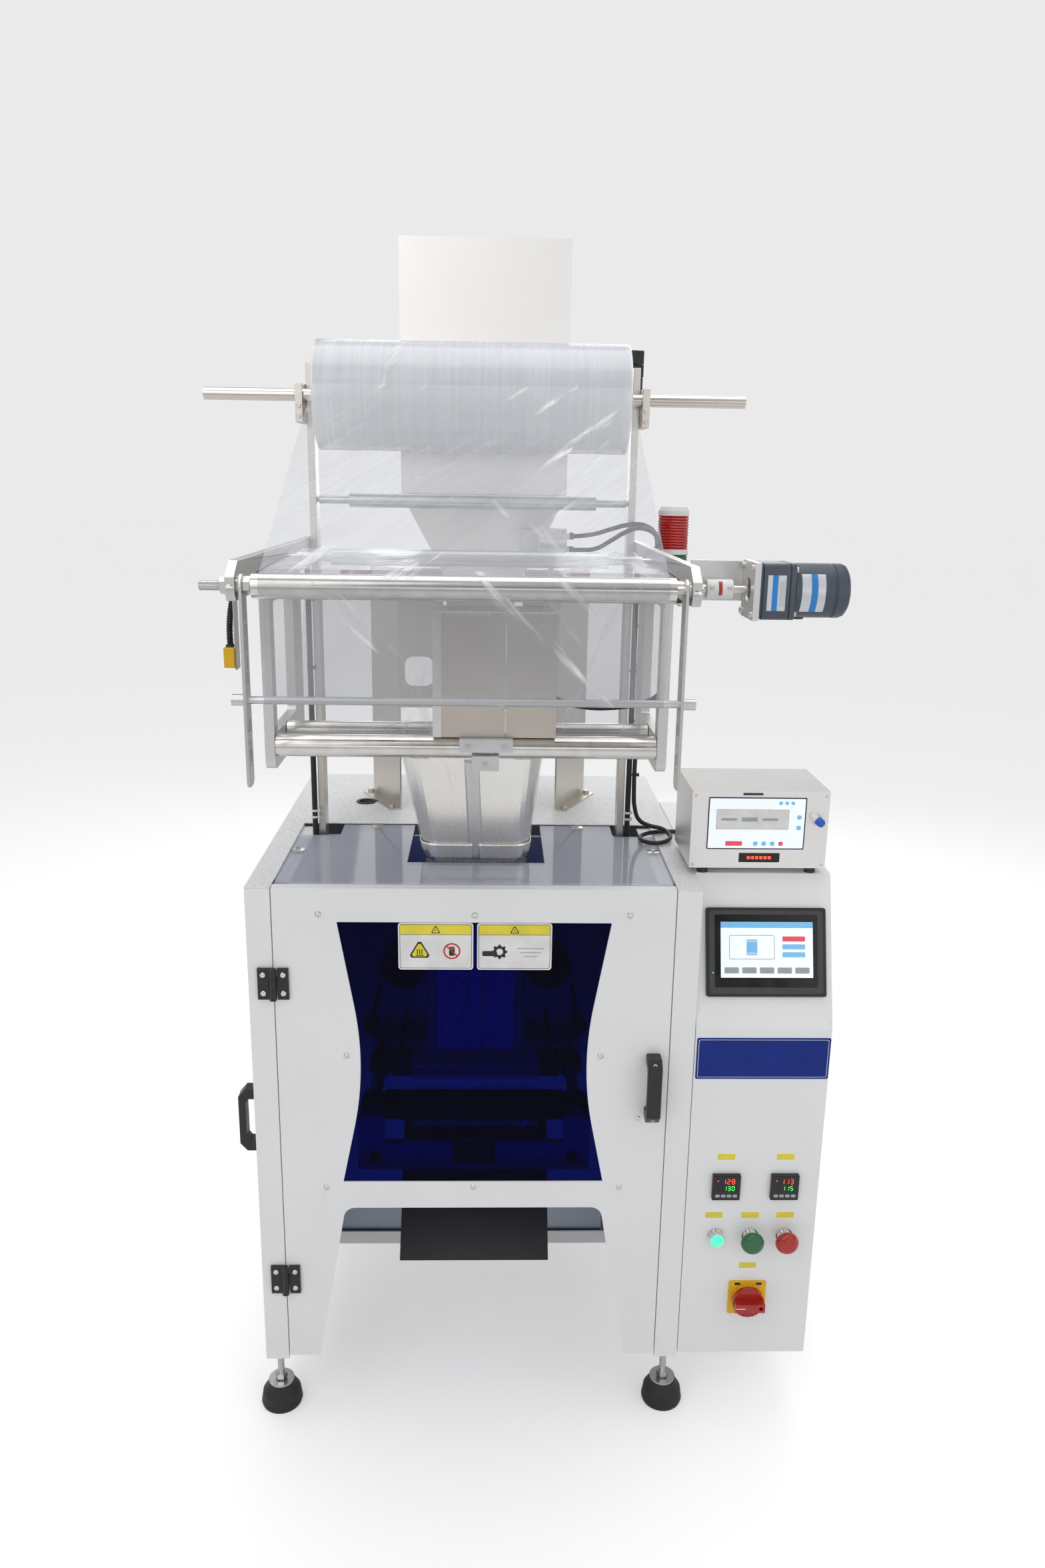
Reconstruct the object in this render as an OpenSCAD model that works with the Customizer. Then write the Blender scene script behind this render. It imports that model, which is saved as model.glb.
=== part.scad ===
// Vertical form fill sealer: a film roll, a drawn web, a forming tube, sealing jaws
// and a product hopper on a sheet-metal cabinet. Millimetres, +Z up, floor at Z = 0.

/* [Cabinet] */
// Depth of the main cabinet
cab_d = 730; // [720:1:760]
// Height of the cabinet's lower edge above the floor
base_z = 128; // [126:1:130]
// Thickness of the cabinet's sheet metal
sheet = 2; // [1.5:0.5:2]

/* [Front door] */
// Half width of the window at its top and bottom
win_half = 221; // [215:1:225]
// Half width of the window at its waist
waist_half = 187.5; // [180:0.5:195]
// Height of the top of the arch below the window
arch_z = 435; // [430:1:440]

/* [Control cabinet] */
// Width of the control cabinet
ctl_w = 228; // [226:1:232]
// Depth of the control cabinet
ctl_d = 520; // [420:10:700]

/* [Film] */
// Diameter of the film roll
roll_d = 174; // [100:2:180]
// Width of the film
film_w = 506; // [400:2:510]
// Length of the roll's shaft
shaft_len = 896; // [860:2:900]

/* [Hopper] */
// Width of the hopper
hopper_w = 296; // [290:1:300]
// Height of the hopper's rim above the floor
hopper_z = 2044; // [1900:2:2100]

/* [Hidden] */
$fn = 48;

// Main cabinet
cab_half = 366;
deck_z = 1016;
deck_under = deck_z - sheet;
stile_x = 325.5;
stile_d = 20;
rebate = 22;
opening_x = 325;
opening_y = 357;
ledge_x = 301;
cable_hole = [-225, 505];
cable_hole_d = 33;
side_door_y0 = 23;
side_door_y1 = 690;
side_door_z0 = 190;
side_door_z1 = 960;
deck_screw_places = [[312, 200], [187, 345]];
foot_x = 350;
foot_ys = [45, 690];
foot_pad_d = 74;
pan_y = 320;
plate_y = 328;
plate_t = 10;

// Front door
door_half = 324;
door_z0 = 136;
door_z1 = 1015;
door_return = 19;
win_z0 = 486;
win_z1 = 958;
waist_z = 711;
waist_r = 600;
arch_half = 222;
arch_foot = 266;
door_screw_places = [[0, 970], [0, 475], [-250, 971], [250, 971], [-250, 475], [250, 475],
  [-210, 722], [210, 722]];
hinge_x = -325;
hinge_out = -7;
hinge_zs = [852, 295];
hinge_h = 54;
hinge_w = 25;
knuckle_d = 12;
pin_d = 5;
side_hinge_y = 691;
handle_h = 116;
handle_w = 24;
front_handle = [298, 612];
side_handle = [45, 525];

// Control cabinet
ctl_x0 = cab_half + 1;
ctl_x1 = ctl_x0 + ctl_w;
ctl_z0 = 137;
bend_z = 772;
slope_d = 84;
slope_angle = atan(slope_d / (deck_z - bend_z));
screen_x = 483.5;
screen_up = 127;
screen_w = 200.4;
screen_h = 146.9;
controller_xs = [434, 535];
controller_z = 477;
controller_size = 48;
control_z = 379;
pilot_x = 422;
button_xs = [482, 542];
switch_place = [484, 254];
button_stem_d = 16;
knob_stem_d = 10;
running = 0.05;

// Coder
coder = [[354, 75, 1028], [581, 228, 1160]];

// Upper frame: it stands a little to the left of the cabinet's middle
upper_x = -10;
post_in = 268;
post_out = 280;
post_y = [305, 345];
arm_out = 292;
arm_face = upper_x + arm_out;
arm_y0 = -310;
arm_z = [1497, 1545];
roll_y = 280;
roll_z = 1776;
roll_w = 511;
roll_shaft_d = 20;
roll_shaft_x = 5;
groove_d = 18;
groove_w = 2;
roller_axis = [-290, 1515];
roller_d = 32;
roller_shaft_d = 12;
drive_axis = [-254, 1515];
sleeve_d = 36;
sleeve_x = 138;
journal_d = 12;
idler_journal_d = 8;
idler_d = 25;
idler_half = 213;
upper_idler_axis = [325, 1608];
lower_idler_axis = [76, 1527];
arm_screw_places = [[312, 1527], [336, 1527], [45, 1510], [-30, 1510]];
loop_in = 266;
loop_y = [-165, 95];
loop_z = [1249, 1508];
guide_front_axis = [-153, 1283];
guide_rear_axis = [-62, 1283];
strap_in = 273;
strap_out = 277;
bar_z = 1372;
bar_d = 10;
head = [[-57, -176, 1301], [113, -110, 1475]];

// The machine's centre line and its front plane in the model's frame, whose origin
// is under the middle of the whole machine
machine_x = (shaft_len / 2 - upper_x - roll_shaft_x - ctl_x1) / 2;
machine_y = -(cab_d + arm_y0) / 2;

// Signal tower: its centre, and each step's bottom, top and diameter
tower = [339, 322];
tower_steps = [[1440, 1474, 50], [1474, 1524, 55], [1524, 1533, 56], [1533, 1590, 55],
  [1590, 1607, 53]];
bracket_t = 3;

// Product path
tube_half = 87;
tube_y = [145, 255];
former_half = 118;
former_x = -8;
former_top = 1200;
hopper_x = 8;
hopper_y = [400, 640];
funnel_z = 1618;
outlet_z = 1446;
outlet_x = [-50, 66];
outlet_y = [438, 542];
gate_y = 421;
spout_outer = [[438, outlet_z], [438, 1424], [183, 1255], [183, 1212], [237, 1212], [237, 1236],
  [542, 1438], [542, outlet_z]];
spout_inner = [[440, outlet_z + 1], [440, 1423], [185, 1254], [185, 1211], [235, 1211], [235, 1237],
  [540, 1439], [540, outlet_z + 1]];
cylinder_x = 129;
cylinder_y = 355;
gate_rod_d = 10;

// Inside the cabinet
jaw_rod_x = 180;
jaw_rod_z = 562;
jaw_rod_d = 22;
jaw_y = [105, 260];
jaw_depth = 35;
push_rod_d = 20;
knife_z = 562;
wheel_x = 129;
wheel_z = 800;
wheel_d = 80;
wheel_y = [180, 220];
wheel_shaft_d = 12;
sealer_rod = [125, 940];
sealer_rod_d = 12;

// Routes of the cables, as points along each centre line
conduit_route = [[285.6, 296, 850], [285.6, 297, 1000], [286, 297, 1250], [285.6, 297, 1496]];
upper_tube_route = [[155, 355, 1551], [175, 354, 1551], [205, 340, 1556], [232, 315, 1566],
  [258, 290, 1574], [282, 268, 1574], [298, 252, 1562], [302, 247, 1545], [302, 247, 1531]];
lower_tube_route = [[155, 355, 1527], [175, 354, 1527], [205, 338, 1530], [230, 312, 1546],
  [252, 282, 1562], [276, 252, 1570], [296, 236, 1561], [302, 229, 1545], [302, 229, 1531]];
head_cable_route = [[470, 229, 1050], [470, 246, 1049], [464, 268, 1040], [446, 286, 1028],
  [415, 296, 1021], [375, 300, 1021], [335, 298, 1021], [308, 286, 1020], [296, 262, 1020],
  [304, 239, 1020], [326, 230, 1021], [345, 240, 1024], [349, 264, 1027], [338, 286, 1031],
  [316, 295, 1034], [298, 296, 1044], [289, 296, 1066], [286, 296, 1100], [286, 296, 1180],
  [286, 296, 1260], [286, 296, 1340], [286, 296, 1400], [286, 291, 1445], [285, 276, 1474],
  [283, 250, 1486], [280, 215, 1488], [278, 175, 1487], [277, 135, 1487], [277, 95, 1487],
  [277, 55, 1487], [276, 15, 1487], [276, -20, 1483], [275.5, -46, 1472], [275, -62, 1450],
  [275, -70, 1422], [275, -74, 1392], [274, -78, 1368], [269, -83, 1350], [256, -89, 1340],
  [232, -94, 1334], [200, -97, 1330], [165, -98, 1330], [135, -96, 1335], [112, -94, 1343],
  [99, -97, 1350], [95, -103, 1353], [95, -109.8, 1353]];

// ---------- helpers ----------
module at_machine() { translate([machine_x, machine_y, 0]) children(); }
module at_upper() { translate([machine_x + upper_x, machine_y, 0]) children(); }
module block(low, high) { translate(low) cube(high - low); }
module rod_x(x0, x1, yz, d) {
  translate([x0, yz[0], yz[1]]) rotate([0, 90, 0]) cylinder(d = d, h = x1 - x0);
}
module rod_y(xz, y0, y1, d) {
  translate([xz[0], y1, xz[1]]) rotate([90, 0, 0]) cylinder(d = d, h = y1 - y0);
}
module rod_z(xy, z0, z1, d) { translate([xy[0], xy[1], z0]) cylinder(d = d, h = z1 - z0); }
// A (Y, Z) outline made solid from x0 to x1
module extrude_x(points, x0, x1) {
  translate([x0, 0, 0]) rotate([90, 0, 90]) linear_extrude(x1 - x0) polygon(points);
}
// An (X, Z) outline made solid from y0 to y1
module extrude_y(points, y0, y1) {
  translate([0, y1, 0]) rotate([90, 0, 0]) linear_extrude(y1 - y0) polygon(points);
}
module both_sides() {
  children();
  mirror([1, 0, 0]) children();
}
function arc(centre, r, a0, a1, n = 6) =
  [for (i = [0 : n]) centre + r * [cos(a0 + (a1 - a0) * i / n), sin(a0 + (a1 - a0) * i / n)]];
function round_box(low, high, r) = concat(
  arc([high[0] - r, low[1] + r], r, -90, 0), arc([high[0] - r, high[1] - r], r, 0, 90),
  arc([low[0] + r, high[1] - r], r, 90, 180), arc([low[0] + r, low[1] + r], r, 180, 270));
function unit(v) = v / norm(v);
// A round tube swept through a list of points: its rings turn with the route
module cord_tube(p, d, sides = 10) {
  n = len(p);
  heading = [for (i = [0 : n - 1]) unit(p[min(i + 1, n - 1)] - p[max(i - 1, 0)])];
  side = [for (h = heading) unit(cross(h, abs(h[2]) > 0.9 ? [0, 1, 0] : [0, 0, 1]))];
  ups = [for (i = [0 : n - 1]) cross(side[i], heading[i])];
  rings = [for (i = [0 : n - 1]) for (k = [0 : sides - 1])
    p[i] + d / 2 * (side[i] * cos(360 * k / sides) + ups[i] * sin(360 * k / sides))];
  walls = [for (i = [0 : n - 2]) for (k = [0 : sides - 1])
    [i * sides + k, i * sides + (k + 1) % sides, (i + 1) * sides + (k + 1) % sides, (i + 1) * sides + k]];
  ends = [[for (k = [0 : sides - 1]) sides - 1 - k], [for (k = [0 : sides - 1]) (n - 1) * sides + k]];
  polyhedron(rings, concat(walls, ends), convexity = 8);
}

// ---------- main cabinet ----------
module stile() {
  block([stile_x, 0, base_z], [cab_half, sheet, deck_under]);
  block([cab_half - sheet, sheet, base_z], [cab_half, stile_d, deck_under]);
  block([stile_x, sheet, base_z], [stile_x + sheet, stile_d, deck_under]);
  block([stile_x - rebate, stile_d, base_z], [cab_half, stile_d + sheet, deck_under]);
}
module front_frame() {
  at_machine() color("gainsboro") {
    both_sides() stile();
    block([rebate - stile_x, stile_d, 985], [stile_x - rebate, stile_d + sheet, 1009]);
    block([rebate - stile_x, stile_d + sheet, 1007], [stile_x - rebate, 46, 1009]);
  }
}
module side_panel() { block([cab_half - sheet, stile_d + sheet, base_z], [cab_half, cab_d, deck_under]); }
module cabinet_panels() {
  at_machine() color("gainsboro") {
    side_panel();
    difference() {
      mirror([1, 0, 0]) side_panel();
      block([-cab_half - 1, 0, side_door_z0], [-cab_half + 5, side_door_y1 + 1.5, side_door_z1]);
    }
    difference() {
      block([sheet - cab_half, cab_d - sheet, base_z], [cab_half - sheet, cab_d, deck_under]);
      for (x = [-180, 180]) for (row = [0 : 7])
        extrude_y(round_box([x - 60, 700 + 22 * row], [x + 60, 708 + 22 * row], 3.9), cab_d - 5, cab_d + 1);
    }
  }
}
module deck() {
  at_machine() color("whitesmoke") {
    difference() {
      block([-cab_half, 0, deck_under], [cab_half, cab_d, deck_z]);
      block([-opening_x, -1, deck_under - 1], [opening_x, opening_y, deck_z + 1]);
      rod_z(cable_hole, deck_under - 1, deck_z + 1, cable_hole_d);
    }
    both_sides() {
      block([opening_x, 48, 1006], [opening_x + sheet, opening_y, deck_under - 0.2]);
      block([ledge_x, 48, 1006], [opening_x, opening_y, 1008.8]);
    }
  }
}
module floor_pan() {
  at_machine() color("gainsboro") {
    block([sheet - cab_half, pan_y, base_z], [cab_half - sheet, cab_d - sheet, base_z + 3]);
    block([sheet - cab_half, pan_y, base_z + 3], [cab_half - sheet, pan_y + 3, base_z + 28]);
    both_sides() block([315, stile_d + sheet, base_z], [cab_half - sheet, pan_y, base_z + 3]);
  }
}
module machine_plate() {
  at_machine() color("silver") difference() {
    block([upper_x - post_in, plate_y, base_z + 3], [upper_x + post_in, plate_y + plate_t, 1000]);
    both_sides() rod_y([wheel_x, wheel_z], plate_y - 1, plate_y + 20, 30);
    rod_y(sealer_rod, plate_y - 1, plate_y + 20, sealer_rod_d + 2 * running);
    rod_y([0, jaw_rod_z], plate_y - 1, plate_y + 20, 26);
  }
}
module deck_cover() {
  at_machine() color("lightsteelblue", 0.5) difference() {
    block([-323, 24, 1009.2], [323, 354, deck_under]);
    block([-117, 135, 1000], [117, 360, 1020]);
    both_sides() block([250, 288, 1000], [330, 360, 1020]);
    both_sides() {
      for (p = deck_screw_places) rod_z(p, 1000, 1020, 4.4);
    }
  }
}
module cap_head(d) {
  difference() {
    cylinder(d = 1.8 * d, h = d);
    translate([0, 0, d / 2]) cylinder(d = d, h = d, $fn = 6);
  }
}
module foot_stud(x, y) {
  rod_z([x, y], 40, base_z, 12);
  translate([x, y, base_z - 12]) cylinder(d = 30, h = 2);
  translate([x, y, base_z - 10]) cylinder(d = 22, h = 10, $fn = 6);
  translate([x, y, 52]) cylinder(d = 22, h = 10, $fn = 6);
  translate([x, y, 45]) cylinder(d = 46, h = 4);
}
module frame_fasteners() {
  at_machine() color("silver") {
    for (x = [-foot_x, foot_x]) for (y = foot_ys) foot_stud(x, y);
    both_sides() {
      for (p = deck_screw_places) {
        translate([p[0], p[1], deck_under]) cap_head(4);
        rod_z(p, 1009.2, deck_under, 4);
      }
    }
  }
  at_upper() color("silver") {
    for (side = [0, 1]) mirror([side, 0, 0]) for (p = arm_screw_places) {
      seat = side == 0 && p[0] > post_y[0] ? bracket_t : 0;
      translate([arm_out + seat, p[0], p[1]]) rotate([0, 90, 0]) cap_head(8);
    }
    rod_x(-326, arm_out + 4, roller_axis, roller_shaft_d);
    for (x = [-arm_out - 9, 0.5 - strap_in])
      translate([x, roller_axis[0], roller_axis[1]]) rotate([0, 90, 0]) cylinder(d = 21, h = 8, $fn = 6);
    both_sides() rod_x(strap_out + 1, post_out, roller_axis, 18);
  }
}
module rubber_feet() {
  at_machine() color("dimgray") {
    for (x = [-foot_x, foot_x]) for (y = foot_ys) translate([x, y, 0]) difference() {
      rotate_extrude() polygon([[0, 0], [foot_pad_d / 2 - 2, 0], [foot_pad_d / 2, 6],
        [foot_pad_d / 2 - 3, 26], [26, 38], [24, 45], [0, 45]]);
      translate([0, 0, 40]) cylinder(d = 12, h = 10);
    }
    for (x = [coder[0][0] + 26, coder[1][0] - 20]) for (y = [coder[0][1] + 18, coder[1][1] - 18])
      rod_z([x, y], deck_z, coder[0][2], 18);
  }
}

// ---------- door hinges ----------
// One hinge about a vertical pin at the origin; the fixed leaf lies along -X
module fixed_leaf() {
  difference() {
    union() {
      for (side = [-1, 1]) {
        z0 = side < 0 ? -hinge_h / 2 : hinge_h / 6 + 0.3;
        translate([0, 0, z0]) cylinder(d = knuckle_d, h = hinge_h / 3 - 0.3);
        block([-hinge_w, 2, z0], [-1, -hinge_out, z0 + hinge_h / 3 - 0.3]);
      }
      block([-hinge_w, 2, -hinge_h / 2], [-knuckle_d / 2 - 1, -hinge_out, hinge_h / 2]);
    }
    for (z = [-16, 16]) rod_y([-16, z], 1, 8, 4.5);
  }
  rod_z([0, 0], -hinge_h / 2, hinge_h / 2, pin_d);
  for (z = [-16, 16]) rod_y([-16, z], 1.2, -hinge_out, 4.5);
}
module moving_leaf() {
  leaf_z = hinge_h / 6;
  difference() {
    union() {
      translate([0, 0, -leaf_z]) cylinder(d = knuckle_d, h = 2 * leaf_z);
      block([1, 2, -leaf_z], [hinge_w, -hinge_out, leaf_z]);
      block([knuckle_d / 2 + 1, 2, -hinge_h / 2], [hinge_w, -hinge_out, hinge_h / 2]);
    }
    translate([0, 0, -leaf_z - 1]) cylinder(d = pin_d + 2 * running, h = 2 * leaf_z + 2);
    for (z = [-16, 16]) rod_y([16, z], 1, 8, 4.5);
  }
  for (z = [-16, 16]) rod_y([16, z], 1.2, -hinge_out, 4.5);
}
// Places a hinge on the front door, or on the side door with its fixed leaf to the rear
module at_front_hinge(z) { translate([hinge_x, hinge_out, z]) children(); }
module at_side_hinge(z) {
  translate([hinge_out - cab_half, side_hinge_y, z]) rotate([0, 0, -90]) children();
}
module fixed_hinge_leaves() {
  at_machine() color("dimgray") {
    for (z = hinge_zs) at_front_hinge(z) fixed_leaf();
    for (z = hinge_zs) at_side_hinge(z) fixed_leaf();
  }
}
module door_hinge_leaves() {
  at_machine() color("dimgray") for (z = hinge_zs) at_front_hinge(z) moving_leaf();
}
// A bridge handle standing up from z = 0 on the plane y = 0, proud along -Y
module bridge_handle() {
  rotate([90, 0, -90]) translate([0, 0, -handle_w / 2]) linear_extrude(handle_w)
    polygon([[0, 0], [22, 0], [34, 14], [34, handle_h - 14], [22, handle_h], [0, handle_h],
      [0, handle_h - 18], [17, handle_h - 18], [22, handle_h - 25], [22, 25], [17, 18], [0, 18]]);
}

// ---------- front door ----------
function tangent(corner, centre, r) =
  let (v = corner - centre, a = atan2(v[1], v[0]), b = acos(r / norm(v)))
  [centre + r * [cos(a - b), sin(a - b)], centre + r * [cos(a + b), sin(a + b)]];
module window_side() {
  centre = [waist_half + waist_r, waist_z];
  top = tangent([win_half, win_z1], centre, waist_r)[1];
  bottom = tangent([win_half, win_z0], centre, waist_r)[0];
  a_top = atan2(top[1] - centre[1], top[0] - centre[0]);
  a_bottom = 360 + atan2(bottom[1] - centre[1], bottom[0] - centre[0]);
  polygon(concat([[win_half, win_z1]], arc(centre, waist_r, a_top, a_bottom, 14),
    [[win_half, win_z0], [300, win_z0 - 9], [300, win_z1 + 9]]));
}
module window_outline() {
  difference() {
    translate([-win_half, win_z0]) square([2 * win_half, win_z1 - win_z0]);
    window_side();
    mirror([1, 0]) window_side();
  }
}
module door_outline() {
  leg = atan((arch_foot - arch_half) / (arch_z - door_z0));
  difference() {
    polygon(round_box([-door_half, door_z0], [door_half, door_z1], 3));
    polygon(concat([[arch_foot + 4, door_z0 - 20], [arch_foot + 4, door_z0]],
      arc([arch_half - 20, arch_z - 20], 20, leg, 90), arc([20 - arch_half, arch_z - 20], 20, 90, 180 - leg),
      [[-arch_foot - 4, door_z0], [-arch_foot - 4, door_z0 - 20]]));
    window_outline();
    for (p = door_screw_places) translate(p) circle(d = 4.4);
  }
}
module door_shell() {
  at_machine() color("gainsboro") {
    translate([0, sheet, 0]) rotate([90, 0, 0]) linear_extrude(sheet) door_outline();
    both_sides() block([door_half - sheet, sheet, door_z0 + 4], [door_half, door_return, door_z1 - sheet]);
    block([-door_half, sheet, door_z1 - sheet], [door_half, door_return, door_z1]);
  }
}
module door_window() {
  at_machine() color("mediumblue", 0.7) difference() {
    block([-262, sheet, 462], [262, sheet + 4, 984]);
    for (p = door_screw_places) rod_y(p, 0, 10, 4.4);
  }
}
module door_screws() {
  at_machine() color("silver") for (p = door_screw_places) translate([p[0], 0, p[1]]) rotate([90, 0, 0]) {
    translate([0, 0, -9]) cylinder(d = 4, h = 9);
    intersection() {
      translate([0, 0, -3.2]) sphere(d = 13);
      cylinder(d = 11, h = 4);
    }
    translate([0, 0, -9]) cylinder(d = 8, h = 3);
  }
}
module door_handle() {
  at_machine() color("dimgray") translate([front_handle[0], 0, front_handle[1]]) bridge_handle();
}
module side_door() {
  at_machine() color("gainsboro") {
    block([-cab_half, side_door_y0, side_door_z0 + 1.5],
      [sheet - cab_half, side_door_y1, side_door_z1 - 1.5]);
    for (y = [side_door_y0, side_door_y1 - sheet])
      block([sheet - cab_half, y, side_door_z0 + 1.5], [18 - cab_half, y + sheet, side_door_z1 - 1.5]);
    for (z = [side_door_z0 + 1.5, side_door_z1 - 3.5])
      block([sheet - cab_half, side_door_y0 + sheet, z], [18 - cab_half, side_door_y1 - sheet, z + sheet]);
    translate([-cab_half, side_handle[0], side_handle[1]]) rotate([0, 0, -90]) bridge_handle();
    for (z = hinge_zs) at_side_hinge(z) moving_leaf();
  }
}

// ---------- control cabinet ----------
// The side outline, drawn in by the sheet's thickness t on every face
function control_profile(t) = let (
    lean = [slope_d, deck_z - bend_z] / norm([slope_d, deck_z - bend_z]),
    low = bend_z - t * (1 - lean[1]) / lean[0],
    high_y = slope_d + t * (1 - lean[0]) / lean[1])
  [[t, ctl_z0 + t], [t, low], [high_y, deck_z - t], [ctl_d - t, deck_z - t], [ctl_d - t, ctl_z0 + t]];
module control_cabinet() {
  at_machine() color("whitesmoke") {
    difference() {
      extrude_x(control_profile(0), ctl_x0, ctl_x1);
      extrude_x(control_profile(sheet), ctl_x0 + sheet, ctl_x1 - sheet);
      for (x = button_xs) rod_y([x, control_z], -1, 5, button_stem_d + 6);
      rod_y(switch_place, -1, 5, knob_stem_d + 6);
    }
    for (z = [220, 900]) block([cab_half, 60, z], [ctl_x0, ctl_d - 60, z + 30]);
  }
}
// The slope's own frame: Z up along the slope, Y into the cabinet
module on_slope() { translate([screen_x, 0, bend_z]) rotate([-slope_angle, 0, 0]) children(); }
module panel_displays() {
  at_machine() color("dimgray") {
    on_slope() extrude_y(round_box([-screen_w / 2, screen_up - screen_h / 2],
      [screen_w / 2, screen_up + screen_h / 2], 4), -6, 0);
    for (x = controller_xs) extrude_y(round_box([x - controller_size / 2, controller_z - controller_size / 2],
      [x + controller_size / 2, controller_z + controller_size / 2], 1.5), -7, 0);
  }
}
module panel_bezels() {
  at_machine() color("gold") {
    rod_y([pilot_x, control_z], -4, 0, 29);
    rod_y([pilot_x, control_z], -14, -4, 24);
    for (x = button_xs) difference() {
      union() {
        rod_y([x, control_z], -4, 0, 30);
        rod_y([x, control_z], -12, -4, 24);
        rod_y([x, control_z], 0, 12, button_stem_d + 5.4);
      }
      rod_y([x, control_z], -13, 13, button_stem_d + 2 * running);
    }
    difference() {
      union() {
        extrude_y(round_box(switch_place - [33, 33], switch_place + [33, 33], 3), -3, 0);
        rod_y(switch_place, -9, -3, 52);
        rod_y(switch_place, 0, 12, knob_stem_d + 5.4);
      }
      rod_y(switch_place, -10, 13, knob_stem_d + 2 * running);
    }
  }
}
module mushroom(x) {
  translate([x, 0, control_z]) rotate([90, 0, 0]) {
    translate([0, 0, -16]) cylinder(d = button_stem_d, h = 34);
    rotate_extrude()
      polygon(concat([[0, 18], [17, 18], [20, 21], [20, 24]], arc([8, 22], 12, 10, 90), [[0, 34]]));
  }
}
module green_button() { at_machine() color("green") mushroom(button_xs[0]); }
module red_button() { at_machine() color("firebrick") mushroom(button_xs[1]); }
module switch_knob() {
  at_machine() color("firebrick") translate([switch_place[0], 0, switch_place[1]]) rotate([90, 0, 0]) {
    translate([0, 0, -14]) cylinder(d = knob_stem_d, h = 24);
    translate([0, 0, 9.4]) cylinder(d = 55, h = 10);
    difference() {
      translate([-26, -8, 19.4]) cube([52, 16, 14]);
      translate([19, 0, 10]) cylinder(d = 7, h = 30);
    }
  }
}
module coder_case() {
  at_machine() color("silver") {
    difference() {
      block(coder[0], coder[1]);
      block(coder[0] + [sheet, sheet, sheet], coder[1] - [sheet, sheet, sheet]);
    }
    rod_y([470, 1050], coder[1][1], coder[1][1] + 1, 20);
  }
}

// ---------- upper frame ----------
module posts() {
  at_upper() color("silver") both_sides() difference() {
    block([post_in, post_y[0], 700], [post_out, post_y[1], 1830]);
    rod_x(post_in - 1, post_out + 1, upper_idler_axis, idler_journal_d + 2 * running);
  }
}
module arm_plates() {
  outline = [[arm_y0 + 8, arm_z[0]], [post_y[1], arm_z[0]], [post_y[1], arm_z[1]], [arm_y0 + 26, arm_z[1]],
    [arm_y0, 1527], [arm_y0, 1507]];
  at_upper() color("silver") both_sides() difference() {
    extrude_x(outline, post_out, arm_out);
    rod_x(post_out - 1, arm_out + 1, roller_axis, roller_shaft_d + 0.2);
    rod_x(post_out - 1, arm_out + 1, drive_axis, journal_d + 2 * running);
    rod_x(post_out - 1, arm_out + 1, lower_idler_axis, idler_journal_d + 2 * running);
  }
}
module shaft_cradles() {
  at_upper() color("silver") both_sides() difference() {
    block([post_out, 262, 1732], [arm_out, post_y[1], 1794]);
    rod_x(post_out - 1, arm_out + 1, [roll_y, roll_z], roll_shaft_d + 2 * running);
    block([post_out - 1, roll_y - roll_shaft_d / 2 - running, roll_z],
      [arm_out + 1, roll_y + roll_shaft_d / 2 + running, 1800]);
  }
}
module guide_loops() {
  at_upper() color("silver") {
    both_sides() difference() {
      extrude_x(round_box([loop_y[0], loop_z[0]], [loop_y[1], loop_z[1]], 14), loop_in, post_out);
      extrude_x(round_box([-138, 1299], [22, 1480], 6), loop_in - 1, post_out + 1);
      rod_x(loop_in - 1, post_out + 1, guide_front_axis, journal_d + 2 * running);
      rod_x(loop_in - 1, post_out + 1, guide_rear_axis, journal_d + 2 * running);
    }
    block([-loop_in, head[1][1], 1482], [loop_in, head[1][1] + 20, 1496]);
    for (x = [-30, 76]) block([x, head[1][1], 1440], [x + 30, head[1][1] + 3, 1482]);
  }
}
module print_head_box() {
  at_machine() {
    color("silver") block(head[0], head[1]);
    color("whitesmoke") {
      block([-20, -188, 1282], [54, -172, 1300.8]);
      block([-3, -188, 1256], [35, -172, 1277]);
      block([4, -172, 1256], [28, -170.4, 1300.8]);
    }
  }
}
module roller(x, d, journal, reach) {
  rod_x(-x, x, [0, 0], d);
  rod_x(-reach, reach, [0, 0], journal);
}
module at_axis(axis) { translate([0, axis[0], axis[1]]) children(); }
module roll_shaft() {
  at_upper() color("silver") at_axis([roll_y, roll_z]) {
    difference() {
      rod_x(roll_shaft_x - shaft_len / 2, roll_shaft_x + shaft_len / 2, [0, 0], roll_shaft_d);
      both_sides() difference() {
        rod_x(arm_out + 1, arm_out + 1 + groove_w, [0, 0], roll_shaft_d + 2);
        rod_x(arm_out, arm_out + 2 + groove_w, [0, 0], groove_d);
      }
    }
    both_sides() translate([roll_w / 2 + 0.2, 0, 0]) rotate([0, 90, 0]) cylinder(d1 = 62, d2 = 40, h = 8);
  }
}
module film_roll() {
  at_upper() color("white", 0.8) at_axis([roll_y, roll_z]) difference() {
    rod_x(-roll_w / 2, roll_w / 2, [0, 0], roll_d);
    rod_x(-roll_w / 2 - 1, roll_w / 2 + 1, [0, 0], roll_shaft_d);
  }
}
module idler() {
  rod_x(-idler_half, idler_half, [0, 0], idler_d);
  rod_x(3 - post_in, post_in - 3, [0, 0], 14);
}
module upper_idler() {
  at_upper() color("silver") at_axis(upper_idler_axis) {
    idler();
    rod_x(-post_out, post_out, [0, 0], idler_journal_d);
  }
}
module lower_idler() {
  at_upper() color("silver") at_axis(lower_idler_axis) {
    idler();
    rod_x(-arm_out, arm_out, [0, 0], idler_journal_d);
  }
}
module front_roller() {
  at_upper() color("silver") at_axis(roller_axis) difference() {
    rod_x(-262, 262, [0, 0], roller_d);
    rod_x(-263, 263, [0, 0], roller_shaft_d + 2 * running);
  }
}
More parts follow.
